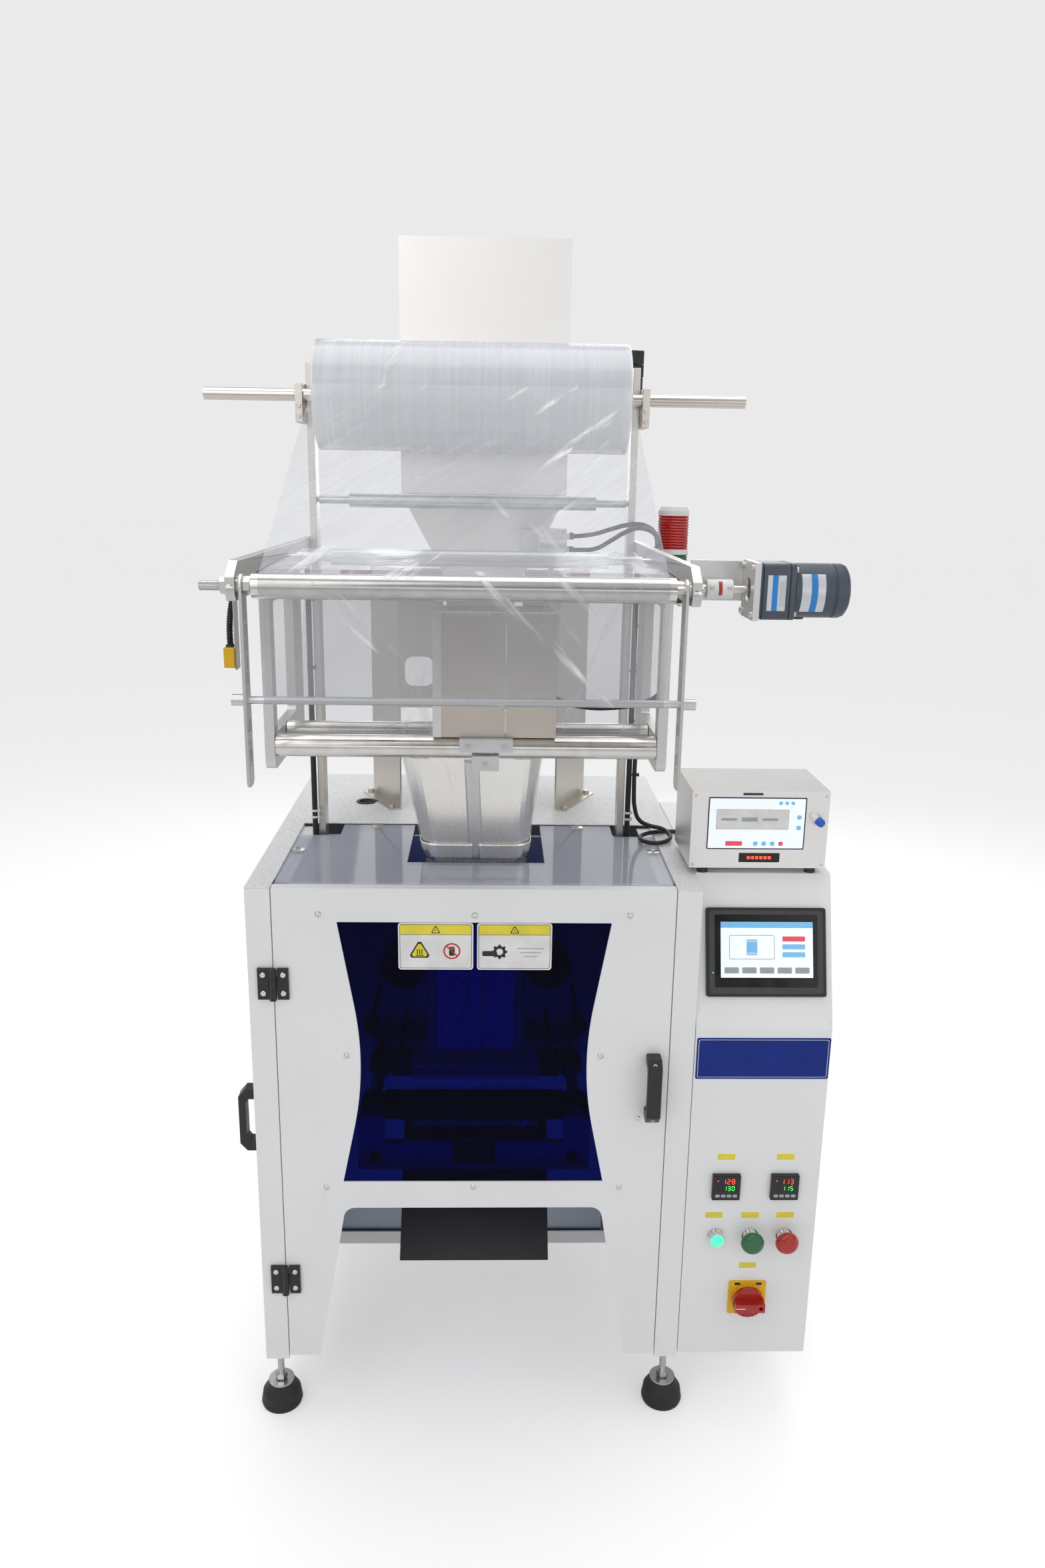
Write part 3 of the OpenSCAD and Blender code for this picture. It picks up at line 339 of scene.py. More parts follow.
RED = plastic("red_moulding", (0.45, 0.015, 0.01), 0.28, Coat_Weight=0.4)
GREEN = plastic("green_moulding", (0.02, 0.14, 0.05), 0.3, Coat_Weight=0.3)
RED_LENS = plastic("red_lens", (0.60, 0.01, 0.008), 0.12, grain=40, Coat_Weight=0.8, Transmission_Weight=0.25)
GREEN_LENS = plastic("green_lens", (0.01, 0.17, 0.06), 0.12, grain=40, Coat_Weight=0.8,
                     Transmission_Weight=0.25)
BLUE_TIP = plastic("blue_moulding", (0.01, 0.12, 0.55), 0.3)
CABLE = plastic("cable_sheath", (0.012, 0.012, 0.013), 0.4, grain=1500)
MOTOR_GREY = powder_coat("motor_coat", (0.06, 0.075, 0.10), grain=1200, rough=0.38)
LABEL_SILVER = brushed("silver_label", (0.74, 0.77, 0.80), (60, 60, 900), rough=0.4)
LABEL_BLUE = plastic("blue_print", (0.02, 0.22, 0.62), 0.35)
BLUE_PLATE = plastic("blue_plate", (0.008, 0.028, 0.24), 0.4, grain=120, Specular_IOR_Level=0.2)
BEZEL_GREY = plastic("panel_bezel_grey", (0.055, 0.055, 0.053), 0.4)
LABEL_YELLOW = plastic("yellow_label", (0.85, 0.72, 0.05), 0.45)
LABEL_WHITE = plastic("white_label", (0.84, 0.84, 0.83), 0.35)
PRINT_BLACK = plastic("black_print", (0.02, 0.02, 0.02), 0.4)
PRINT_RED = plastic("red_print", (0.60, 0.02, 0.02), 0.4)
PRINT_GREY = plastic("grey_print", (0.42, 0.44, 0.47), 0.4)
SCREEN_GLASS = plastic("black_glass", (0.012, 0.012, 0.014), 0.12, grain=5, depth=0.0)
SCREEN_LIT = glowing("lit_screen", (0.80, 0.86, 0.93), 0.45, 0.12)
SCREEN_BLUE = glowing("screen_blue", (0.20, 0.50, 0.80), 0.3, 0.12)
SCREEN_RED = glowing("screen_red", (0.75, 0.08, 0.12), 0.35, 0.12)
RED_DIGITS = glowing("red_digits", (1.0, 0.05, 0.02), 2.2)
GREEN_DIGITS = glowing("green_digits", (0.05, 1.0, 0.12), 1.6)
PILOT = glowing("pilot_lens", (0.05, 0.85, 0.30), 1.6)
BLUE_WINDOW = tinted_pane("blue_acrylic", (0.005, 0.018, 0.36), (0.14, 0.24, 0.80))
COVER_CLEAR = smoked_sheet("smoked_acrylic", (0.62, 0.65, 0.74), 0.34, 0.62)
# one clear film in three tones by where it runs: near white over the former, darker low in the machine; these
# tone differences are painted light and shade
FILM_TOP = clear_film("clear_film_top", (0.52, 0.54, 0.60), 0.24, 0.48, (0, 0, 38))
FILM_LOW = clear_film("clear_film_low", (0.44, 0.45, 0.48), 0.24, 0.50, (0, 42, 0))
FILM_FORMED = clear_film("clear_film_formed", (0.92, 0.92, 0.93), 0.05, 0.26, (0, 12, 0), crease=0.35)
WOUND_FILM = wound_film()

SLOTS = {
    "cabinet_paint": [PAINT], "deck_paint": [DECK_PAINT], "chrome": [CHROME, ROLLER_CHROME],
    "stainless": [LIT_STEEL, SHADED_STEEL, SHEET_STEEL, PLATE_STEEL, BAR_STEEL, LIT_FORMED_STEEL,
                  CLOUDY_STEEL, BLUE_STEEL],
    "aluminium": [ALUMINIUM, SATIN_ROD, LABEL_SILVER], "zinc": [ZINC],
    "black_plastic": [BLACK, PRINT_BLACK, BEZEL_GREY],
    "rubber": [RUBBER], "cable_black": [CABLE], "blue_acrylic": [BLUE_WINDOW], "clear_acrylic": [COVER_CLEAR],
    "film": [FILM_TOP, FILM_LOW, FILM_FORMED], "film_roll": [WOUND_FILM],
    "yellow_plastic": [YELLOW, LABEL_YELLOW],
    "red_plastic": [RED, RED_LENS, PRINT_RED], "green_plastic": [GREEN, GREEN_LENS],
    "red_silicone": [SILICONE], "motor_grey": [MOTOR_GREY], "white_metal": [WHITE, GREY_BLOCK, LABEL_WHITE],
    "black_metal": [BLACK_METAL],
    "screen": [SCREEN_GLASS, SCREEN_LIT, SCREEN_BLUE, SCREEN_RED, RED_DIGITS, GREEN_DIGITS, PILOT,
               BLUE_PLATE, LABEL_BLUE, BLUE_TIP, PRINT_GREY],
}
SLOT_OF = {material: slot for slot, materials in SLOTS.items() for material in materials}


# ---------- cords ----------
def cable(name, route, width, material, body="frame"):
    """A round cable along a route of points in the machine's millimetres."""
    curve = bpy.data.curves.new(name, "CURVE")
    curve.dimensions = "3D"
    curve.bevel_depth = width / 2 * MM
    curve.bevel_resolution = 3
    curve.resolution_u = 4
    curve.use_fill_caps = True
    spline = curve.splines.new("BEZIER")
    spline.bezier_points.add(len(route) - 1)
    for point, place in zip(spline.bezier_points, route):
        point.co = at(*place)
        point.handle_left_type = point.handle_right_type = "AUTO"
    piece = bpy.data.objects.new(name, curve)
    bpy.context.scene.collection.objects.link(piece)
    curve.materials.append(material)
    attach(piece, body)
    return piece


def length_of(curve):
    """The length of a curve's one spline, in metres."""
    spline = curve.splines[0]
    steps = curve.resolution_u * 4
    total = 0.0
    for a, b in zip(spline.bezier_points, spline.bezier_points[1:]):
        points = [a.co]
        for k in range(1, steps + 1):
            t = k / steps
            points.append((1 - t) ** 3 * a.co + 3 * (1 - t) ** 2 * t * a.handle_right
                          + 3 * (1 - t) * t * t * b.handle_left + t ** 3 * b.co)
        total += sum((q - p).length for p, q in zip(points, points[1:]))
    return total


HEAD_CABLE_ROUTE = [
    (470, 229, 1050), (470, 246, 1049), (464, 268, 1040), (446, 286, 1028), (415, 296, 1021),
    (375, 300, 1021), (335, 298, 1021), (308, 286, 1020), (296, 262, 1020), (304, 239, 1020),
    (326, 230, 1021), (345, 240, 1024), (349, 264, 1027), (338, 286, 1031), (316, 295, 1034),
    (298, 296, 1044), (289, 296, 1066), (286, 296, 1100), (286, 296, 1180), (286, 296, 1260),
    (286, 296, 1340), (286, 296, 1400), (286, 291, 1445), (285, 276, 1474), (283, 250, 1486),
    (280, 215, 1488), (278, 175, 1487), (277, 135, 1487), (277, 95, 1487), (277, 55, 1487),
    (276, 15, 1487), (276, -20, 1483), (275.5, -46, 1472), (275, -62, 1450), (275, -70, 1422),
    (275, -74, 1392), (274, -78, 1368), (269, -83, 1350), (256, -89, 1340), (232, -94, 1334),
    (200, -97, 1330), (165, -98, 1330), (135, -96, 1335), (112, -94, 1343), (99, -97, 1350),
    (95, -103, 1353), (95, -109.8, 1353)]
UPPER_TUBE_ROUTE = [
    (155, 355, 1551), (175, 354, 1551), (205, 340, 1556), (232, 315, 1566), (258, 290, 1574),
    (282, 268, 1574), (298, 252, 1562), (302, 247, 1545), (302, 247, 1531)]
LOWER_TUBE_ROUTE = [
    (155, 355, 1527), (175, 354, 1527), (205, 338, 1530), (230, 312, 1546), (252, 282, 1562),
    (276, 252, 1570), (296, 236, 1561), (302, 229, 1545), (302, 229, 1531)]
CONDUIT_XS = (-295.6, 275.6)
CONDUIT_WIDTH, TUBE_WIDTH, HEAD_CABLE_WIDTH = 10, 8, 8


def make_cords():
    head_cable = cable("print_head_cable_sheath", HEAD_CABLE_ROUTE, HEAD_CABLE_WIDTH, CABLE)
    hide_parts("print_head_cable")
    bpy.context.view_layer.update()
    length_of(head_cable.data)
    for name, route in (("upper_air_tube", UPPER_TUBE_ROUTE), ("lower_air_tube", LOWER_TUBE_ROUTE)):
        cable(name, route, TUBE_WIDTH, CABLE)
    for name, x in zip(("left_conduit", "right_conduit"), CONDUIT_XS):
        lean = math.copysign(0.4, x)
        route = [(x, 296, 850), (x, 297, 1000), (x + lean, 297, 1250), (x, 297, 1496)]
        conduit = cable(name, route, CONDUIT_WIDTH, CABLE)
    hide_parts("held_cables")


make_cords()


# ---------- mesh tools ----------
UPRIGHT = Matrix.Identity(4)
TO_FRONT = Matrix.Rotation(math.radians(90), 4, "X")
TO_RIGHT = Matrix.Rotation(math.radians(90), 4, "Y")
TO_LEFT = Matrix.Rotation(math.radians(-90), 4, "Y")


class Piece:
    """Gathers shapes, in the machine's millimetres, into one mesh that rides on a body."""

    def __init__(self, name, body="frame", home=UPRIGHT):
        self.name, self.body, self.home = name, body, home
        self.shapes = bmesh.new()
        self.materials = []

    def add(self, shape, material, place=(0, 0, 0), turn=UPRIGHT):
        if material not in self.materials:
            self.materials.append(material)
        shape.transform(self.home @ Matrix.Translation(place) @ turn)
        for face in shape.faces:
            face.material_index = self.materials.index(material)
        mesh = bpy.data.meshes.new("shape")
        shape.to_mesh(mesh)
        shape.free()
        self.shapes.from_mesh(mesh)
        bpy.data.meshes.remove(mesh)
        return self

    def finish(self, *replaced, crease=35):
        self.shapes.transform(Matrix.Translation(MIDDLE) @ Matrix.Scale(MM, 4))
        self.shapes.normal_update()
        for edge in self.shapes.edges:
            edge.smooth = len(edge.link_faces) != 2 or edge.calc_face_angle(0) < math.radians(crease)
        for face in self.shapes.faces:
            face.smooth = True
        mesh = bpy.data.meshes.new(self.name)
        self.shapes.to_mesh(mesh)
        self.shapes.free()
        for material in self.materials:
            mesh.materials.append(material)
        piece = bpy.data.objects.new(self.name, mesh)
        bpy.context.scene.collection.objects.link(piece)
        if self.body:
            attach(piece, self.body)
        if replaced:
            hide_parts(*replaced)
        return piece


def block(low, high, edge=0.0):
    """A box between two corners, its edges rounded by some millimetres."""
    shape = bmesh.new()
    bmesh.ops.create_cube(shape, size=1)
    low, high = Vector(low), Vector(high)
    size = high - low
    shape.transform(Matrix.Translation((low + high) / 2) @ Matrix.Diagonal((*size, 1)))
    if edge:
        bmesh.ops.bevel(shape, geom=shape.edges[:], offset=edge, segments=2, profile=0.5, affect="EDGES")
    return shape


def rounded(half_w, half_h, radius, steps=4, centre=(0, 0)):
    """A rounded rectangle's outline round a centre."""
    corners = ((1, -1, -90), (1, 1, 0), (-1, 1, 90), (-1, -1, 180))
    outline = []
    for sx, sy, start in corners:
        for k in range(steps + 1):
            a = math.radians(start + 90 * k / steps)
            outline.append((centre[0] + sx * (half_w - radius) + radius * math.cos(a),
                            centre[1] + sy * (half_h - radius) + radius * math.sin(a)))
    return outline


def disc(radius, centre=(0, 0), steps=24):
    return [(centre[0] + radius * math.cos(2 * math.pi * k / steps),
             centre[1] + radius * math.sin(2 * math.pi * k / steps)) for k in range(steps)]


def prism(outline, depth, edge=0.0, base=0.0):
    """An outline raised along Z from base by depth, its top edge rounded."""
    shape = bmesh.new()
    floor = shape.faces.new([shape.verts.new((x, y, base)) for x, y in outline])
    raised = bmesh.ops.extrude_face_region(shape, geom=[floor])["geom"]
    top = [v for v in raised if isinstance(v, bmesh.types.BMVert)]
    bmesh.ops.translate(shape, verts=top, vec=(0, 0, depth))
    if edge:
        rim = [e for e in shape.edges if all(v in top for v in e.verts)]
        bmesh.ops.bevel(shape, geom=rim, offset=edge, segments=2, profile=0.5, affect="EDGES")
    bmesh.ops.recalc_face_normals(shape, faces=shape.faces)
    return shape


def lathe(profile, sides=40):
    """A profile of (radius, height) points turned about Z; a radius of 0 closes an end."""
    shape = bmesh.new()
    rings = []
    for radius, height in profile:
        count = sides if radius else 1
        rings.append([shape.verts.new((radius * math.cos(2 * math.pi * k / sides),
                                       radius * math.sin(2 * math.pi * k / sides), height))
                      for k in range(count)])
    for low, high in zip(rings, rings[1:]):
        for k in range(sides):
            corners = [low[k % len(low)], low[(k + 1) % len(low)],
                       high[(k + 1) % len(high)], high[k % len(high)]]
            shape.faces.new(list(dict.fromkeys(corners)))
    bmesh.ops.recalc_face_normals(shape, faces=shape.faces)
    return shape


def rod(radius, start, stop, edge=0.6, sides=32):
    """A closed rod along Z with chamfered ends."""
    return lathe([(0, start), (radius - edge, start), (radius, start + edge), (radius, stop - edge),
                  (radius - edge, stop), (0, stop)], sides)


def dome(radius, height, rim=0.6):
    """A domed screw head standing on z = 0."""
    arc = [(radius * math.cos(a), rim + (height - rim) * math.sin(a))
           for a in (math.radians(d) for d in (0, 25, 50, 72))]
    return lathe([(0, 0), (radius, 0)] + arc + [(0, height)], 20)


def cap_screw(radius, height):
    """A socket screw's head standing on z = 0, with its hexagonal socket."""
    return lathe([(0, 0), (radius, 0), (radius, height - 0.5), (radius - 0.5, height),
                  (radius * 0.56, height), (radius * 0.5, height * 0.55), (0, height * 0.55)], 18)


def grid(columns, rows, where):
    """A sheet: where(u, v) gives each point, for u across and v along from 0 to 1."""
    shape = bmesh.new()
    points = [[shape.verts.new(where(i / columns, j / rows)) for i in range(columns + 1)]
              for j in range(rows + 1)]
    for j in range(rows):
        for i in range(columns):
            shape.faces.new((points[j][i], points[j][i + 1], points[j + 1][i + 1], points[j + 1][i]))
    return shape


# ---------- finishes of the CAD parts ----------
NODE_MATERIALS = [
    (PAINT, ["front_frame", "cabinet_panels", "floor_pan", "control_cabinet", "door_shell", "side_door"]),
    (DECK_PAINT, ["deck"]),
    (BLUE_STEEL, ["machine_plate", "jaw_rods"]),
    (COVER_CLEAR, ["deck_cover"]),
    (ZINC, ["frame_fasteners"]),
    (RUBBER, ["rubber_feet", "pull_wheel_left", "pull_wheel_right"]),
    (BLACK, ["fixed_hinge_leaves", "door_handle", "door_hinge_leaves", "panel_displays"]),
    (YELLOW, ["panel_bezels", "dancer_sensor"]),
    (SHEET_STEEL, ["posts", "hopper_stand", "shaft_cradles", "gate"]),
    (LIT_STEEL, ["coder_case", "hopper"]),
    (CLOUDY_STEEL, ["print_head_box"]),
    (PLATE_STEEL, ["arm_plates", "dancer_straps"]),
    (ALUMINIUM, ["guide_loops", "motor_bracket", "vertical_sealer"]),
    (LIT_FORMED_STEEL, ["former"]),
    (WHITE, ["gate_cylinder"]),
    (BLACK_METAL, ["inner_drives", "chute", "front_jaw", "rear_jaw"]),
    (RED, ["red_button", "switch_knob"]),
    (GREEN, ["green_button"]),
    (BLUE_WINDOW, ["door_window"]),
    (CHROME, ["door_screws"]),
    (ROLLER_CHROME, ["guide_roller_front", "guide_roller_rear", "front_roller"]),
    (BAR_STEEL, ["roll_shaft", "knife"]),
    (SATIN_ROD, ["upper_idler", "lower_idler", "dancer_bar"]),
    (SILICONE, ["drive_sleeves"]),
]
# a second finish on the faces of a node that lie where a test says
SECOND_FINISHES = [
    # painted shade: the coder case's top faces take the dark steel
    ("coder_case", SHADED_STEEL, lambda p: p.z > span_of("coder_case")[1].z - 0.5),
    ("side_door", BLACK, lambda p: p.x < -366.5),
    ("gate_cylinder", ALUMINIUM, lambda p: p.x > 270),
    ("panel_bezels", CHROME, lambda p: p.z > 330),
    ("dancer_sensor", PLATE_STEEL, lambda p: p.x > -304.2 and p.z > 1434.5),
    ("print_head_box", GREY_BLOCK, lambda p: p.z < 1300.9),
]
# rounded edges: (width in millimetres, nodes)
ROUNDED_EDGES = [
    (0.8, ["front_frame", "deck", "control_cabinet", "door_shell", "side_door",
           "coder_case", "posts", "arm_plates", "shaft_cradles", "print_head_box", "motor_bracket",
           "dancer_straps", "deck_cover"]),
    (1.2, ["guide_loops", "gate_cylinder", "dancer_sensor", "front_jaw", "rear_jaw", "inner_drives"]),
    (2.0, ["panel_displays", "door_handle"]),
]


def finish_nodes():
    for material, names in NODE_MATERIALS:
        for name in names:
            NODES[name].data.materials.clear()
            NODES[name].data.materials.append(material)
    for name, material, test in SECOND_FINISHES:
        mesh = NODES[name].data
        mesh.materials.append(material)
        for polygon in mesh.polygons:
            if test((polygon.center - MIDDLE) / MM):
                polygon.material_index = 1
    for width, names in ROUNDED_EDGES:
        for name in names:
            weld = NODES[name].modifiers.new("weld", "WELD")
            weld.merge_threshold = 0.00001
            bevel = NODES[name].modifiers.new("rounded_edges", "BEVEL")
            bevel.width = width * MM
            bevel.segments = 2
            bevel.limit_method = "ANGLE"
            bevel.angle_limit = math.radians(50)
            bevel.use_clamp_overlap = True
            bevel.harden_normals = True


finish_nodes()

# ---------- driving places, read from the frame ----------
ARM_LOW, ARM_HIGH = span_of("arm_plates")
UPPER_X = (ARM_LOW.x + ARM_HIGH.x) / 2
FILM_LOW_X, FILM_HIGH_X = (span_of("film_loop")[k].x for k in (0, 1))
ROLL_LOW, ROLL_HIGH = span_of("film_roll")
ROLL_YZ = ((ROLL_LOW.y + ROLL_HIGH.y) / 2, (ROLL_LOW.z + ROLL_HIGH.z) / 2)
ROLL_RADIUS = (ROLL_HIGH.z - ROLL_LOW.z) / 2


def axis_of(node):
    low, high = span_of(node)
    return ((low.y + high.y) / 2, (low.z + high.z) / 2)


FRONT_ROLLER = axis_of("front_roller")
DRIVE = axis_of("drive_sleeves")
LOWER_IDLER = axis_of("lower_idler")
GUIDE_REAR = axis_of("guide_roller_rear")
BAR = axis_of("dancer_bar")
ROLLER_R, SLEEVE_R, IDLER_R, BAR_R = 16, 18, 12.5, 5
FILM_GAP = 0.4


# ---------- film ----------
def wrap(centre, radius, start, stop, steps=6):
    """Points round a roller in the (Y, Z) plane, by degrees from +Y towards +Z."""
    reach = radius + FILM_GAP
    return [(centre[0] + reach * math.cos(math.radians(start + (stop - start) * k / steps)),
             centre[1] + reach * math.sin(math.radians(start + (stop - start) * k / steps)))
            for k in range(steps + 1)]


def web(name, path, material, ripple, body="frame", step=9, columns=72):
    """Film along a (Y, Z) path, full width, lifted off its line by ripple(across, along, slack)."""
    fine = [path[0]]
    slack = [0.0]
    for (y0, z0), (y1, z1) in zip(path, path[1:]):
        run = math.hypot(y1 - y0, z1 - z0)
        count = max(1, round(run / step))
        for k in range(1, count + 1):
            t = k / count
            fine.append((y0 + (y1 - y0) * t, z0 + (z1 - z0) * t))
            slack.append(math.sin(math.pi * t) if count > 3 else 0.0)
    last = len(fine) - 1

    def where(u, v):
        k = round(v * last)
        ahead, behind = fine[min(k + 1, last)], fine[max(k - 1, 0)]
        along = Vector((0, ahead[0] - behind[0], ahead[1] - behind[1])).normalized()
        lift = ripple(u, v, slack[k]) * Vector((0, -along.z, along.y))
        return Vector((FILM_LOW_X + (FILM_HIGH_X - FILM_LOW_X) * u, *fine[k])) + lift

    piece = Piece(name, body)
    piece.add(grid(columns, last, where), material)
    return piece.finish(crease=70)


def run_of(points):
    """The length of a line of points."""
    return sum(math.dist(a, b) for a, b in zip(points, points[1:]))


def mean_run(where, columns=48, rows=60):
    """The mean length of a surface's lines from its first edge to its last."""
    runs = [run_of([where(u / columns, v / rows) for v in range(rows + 1)]) for u in range(columns + 1)]
    return sum(runs) / len(runs)


def declare_web(path):
    """Works out a web of film's size: its width, and the length of the line it runs along."""
    size = ((FILM_HIGH_X - FILM_LOW_X) * MM, run_of(path) * MM)


def folds(seed, count, height, width):
    """Soft tension folds that run down a web at a slant, as a function of place."""
    draw = random.Random(seed)
    lines = [(draw.uniform(-0.2, 1.2), draw.uniform(-0.7, 0.7), draw.uniform(0.6, 1.4) * width,
              draw.choice((-1, 1)) * draw.uniform(0.4, 1.0) * height) for _ in range(count)]

    def ripple(u, v, slack):
        total = sum(h * math.exp(-((u - place - slope * (v - 0.5)) / w) ** 2) for place, slope, w, h in lines)
        return total * slack

    return ripple


def make_film():
    roll_angle = 172
    top_path = wrap(ROLL_YZ, ROLL_RADIUS, 45, roll_angle, 24) + wrap(FRONT_ROLLER, ROLLER_R, 117, 134, 2)
    top = web("film_from_roll", top_path, FILM_TOP, folds(3, 9, 5, 0.05))
    declare_web(top_path)
    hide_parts("film_web")

    loop_path = (wrap(FRONT_ROLLER, ROLLER_R, 134, 183, 4) + wrap(BAR, BAR_R, 183, 357, 8)
                 + wrap(DRIVE, SLEEVE_R, 183, 92, 6))
    loop = web("film_round_dancer", loop_path, FILM_LOW, folds(8, 12, 2.2, 0.05), body=None)
    declare_web(loop_path)
    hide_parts("film_loop")
    at(0, BAR[0], 1492)
    at(0, BAR[0], 1392)
    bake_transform(loop)

    rear_path = (wrap(DRIVE, SLEEVE_R, 92, 89, 1) + wrap(LOWER_IDLER, IDLER_R, 90, -30, 6)
                 + wrap(GUIDE_REAR, ROLLER_R, 150, 240, 6))
    rear = web("film_over_idler", rear_path, FILM_TOP, folds(21, 10, 3, 0.05))
    declare_web(rear_path)

    make_former_film()
    make_wound_roll()


TUBE_HALF, TUBE_Y, FORMER_HALF, FORMER_Y, FORMER_X = 87, (145, 255), 118, (120, 280), -8
FORMER_TOP = span_of("former")[1].z
TUBE_MIDDLE_Y = sum(TUBE_Y) / 2
TUBE_CORNER = 25
SLEEVE_PROUD = 0.8


def collar_outline(z, proud, steps=8):
    """The collar's outline at a height, open at the rear: points from its left rear to its right rear."""
    t = (z - DECK_Z) / (FORMER_TOP - DECK_Z)
    half = TUBE_HALF + (FORMER_HALF - TUBE_HALF) * t + proud
    y0 = TUBE_Y[0] + (FORMER_Y[0] - TUBE_Y[0]) * t - proud
    y1 = TUBE_Y[1] + (FORMER_Y[1] - TUBE_Y[1]) * t
    x = FORMER_X * t
    corner = TUBE_CORNER + 15 * t
    points = [(x - half, y1 - corner), (x - half, y0 + corner)]
    points += [(x - half + corner - corner * math.cos(a), y0 + corner - corner * math.sin(a))
               for a in (math.radians(90 * k / steps) for k in range(1, steps + 1))]
    points += [(x + half - corner + corner * math.sin(a), y0 + corner - corner * math.cos(a))
               for a in (math.radians(90 * k / steps) for k in range(0, steps + 1))]
    points += [(x + half, y1 - corner)]
    return points


def along_line(points, share):
    """The point at a share of a polyline's length."""
    runs = [math.dist(a, b) for a, b in zip(points, points[1:])]
    left = share * sum(runs)
    for a, b, run in zip(points, points[1:], runs):
        if left <= run:
            return tuple(p + (q - p) * left / run for p, q in zip(a, b))
        left -= run
    return points[-1]


def make_former_film():
    """The film spreads from the rear guide roller over the collar's rim and hugs its outside."""
    draw = random.Random(5)
    waves = [(draw.uniform(5, 16), draw.uniform(0, 6.3), draw.uniform(0.3, 1.0)) for _ in range(6)]
    take_off = (GUIDE_REAR[0] + (ROLLER_R + FILM_GAP) * math.cos(math.radians(240)),
                GUIDE_REAR[1] + (ROLLER_R + FILM_GAP) * math.sin(math.radians(240)))
    rim, foot = FORMER_TOP + 2, DECK_Z + 3
    flight = 0.45

    def crinkle(u, v):
        return sum(h * math.sin(n * 2 * math.pi * u + phase + 3 * v) for n, phase, h in waves)

    def where(u, v):
        if v < flight:
            t = v / flight
            start = Vector((FILM_LOW_X + (FILM_HIGH_X - FILM_LOW_X) * u, *take_off))
            stop = Vector((*along_line(collar_outline(FORMER_TOP, 2.5), u), rim))
            point = start.lerp(stop, t)
            point.z += 9 * math.sin(math.pi * t) * (0.5 - abs(u - 0.5)) + 1.6 * crinkle(u, v) * t * (1 - t)
            return point
        t = (v - flight) / (1 - flight)
        z = rim + (foot - rim) * t
        proud = 2.5 + 0.8 * crinkle(u, v) * math.sin(math.pi * min(1, t * 1.2)) ** 2 * 0.6
        return Vector((*along_line(collar_outline(min(z, FORMER_TOP), max(1.2, proud)), u), z))

    cover = Piece("film_over_former").add(grid(110, 60, where), FILM_FORMED).finish(crease=70)
    mean_run(where) * MM

    tube_top, tube_foot, bag_top = DECK_Z - 2, 662, 622
    half_depth = (TUBE_Y[1] - TUBE_Y[0]) / 2
    perimeter = list(rounded(TUBE_HALF + SLEEVE_PROUD, half_depth + SLEEVE_PROUD, TUBE_CORNER + SLEEVE_PROUD,
                             8, (0, TUBE_MIDDLE_Y)))
    perimeter.append(perimeter[0])

    def tube(u, v):
        x, y = along_line(perimeter, u)
        if v < 0.8:
            return Vector((x, y, tube_top + (tube_foot - tube_top) * v / 0.8))
        t = (v - 0.8) / 0.2
        flat_x = x * (1 + 0.32 * t)
        gap = 0.4 if y > TUBE_MIDDLE_Y else -0.4
        flat_y = TUBE_MIDDLE_Y + (y - TUBE_MIDDLE_Y) * (1 - t) + gap
        return Vector((flat_x, flat_y, tube_foot + (bag_top - tube_foot) * t))

    sleeve = Piece("film_tube").add(grid(96, 30, tube), FILM_LOW).finish(crease=70)
    run_of(perimeter) * MM
    mean_run(tube) * MM
    for name, low, high in (("bag_being_sealed", 568, bag_top), ("finished_bag", 470, 556)):
        make_bag(name, low, high)


def make_bag(name, low, high):
    """A flat bag, sealed along its ends, with a little air in it."""
    half, jaw_z, jaw_half = 119, 562, 22

    def face(side):
        def where(u, v):
            z = low + (high - low) * v
            clear = min(1.0, max(0.0, (abs(z - jaw_z) - jaw_half) / 26))
            swell = 0.3 + 7 * (math.sin(math.pi * u) * math.sin(math.pi * v)) ** 0.6 * clear
            return Vector((half * (2 * u - 1), TUBE_MIDDLE_Y + swell * side, z))
        return where

    bag = Piece(name)
    for side in (-1, 1):
        bag.add(grid(40, 18, face(side)), FILM_LOW)
    piece = bag.finish(crease=70)


def make_wound_roll():
    """The wound roll: slightly uneven edges, and a core that the shaft's cones hold."""
    half = (ROLL_HIGH.x - ROLL_LOW.x) / 2
    core, bore = 40, 36
    steps = 26
    outside = [(ROLL_RADIUS - 2.2, -half), (ROLL_RADIUS - 0.7, -half + 0.7), (ROLL_RADIUS, -half + 2.4)]
    outside += [(ROLL_RADIUS - 0.35 - 0.35 * math.sin(k * 1.7), -half + 2 * half * k / steps)
                for k in range(1, steps)]
    outside += [(ROLL_RADIUS, half - 2.4), (ROLL_RADIUS - 0.7, half - 0.7), (ROLL_RADIUS - 2.2, half)]
    end = [(r, half - (0.5 if k % 2 else 0.0)) for k, r in enumerate((78, 70, 62, 54, 46))]
    start = [(r, -h) for r, h in reversed(end)]
    profile = [(core, -half + 0.6)] + start + outside + end + [(core, half - 0.6)]
    roll = Piece("wound_film_roll", "film_roll")
    middle = (UPPER_X, *ROLL_YZ)
    roll.add(lathe(profile, 96), WOUND_FILM, middle, TO_RIGHT)
    tube = [(bore, -half), (core, -half), (core, half), (bore, half), (bore, -half)]
    roll.add(lathe(tube, 64), GREY_BLOCK, middle, TO_RIGHT)
    roll.finish("film_roll")


make_film()


# ---------- feed drive ----------
MOTOR_LOW, MOTOR_HIGH = span_of("gearmotor")
MOTOR_YZ = ((MOTOR_LOW.y + MOTOR_HIGH.y) / 2, (MOTOR_LOW.z + MOTOR_HIGH.z) / 2)
HEAD_END = MOTOR_LOW.x + 45


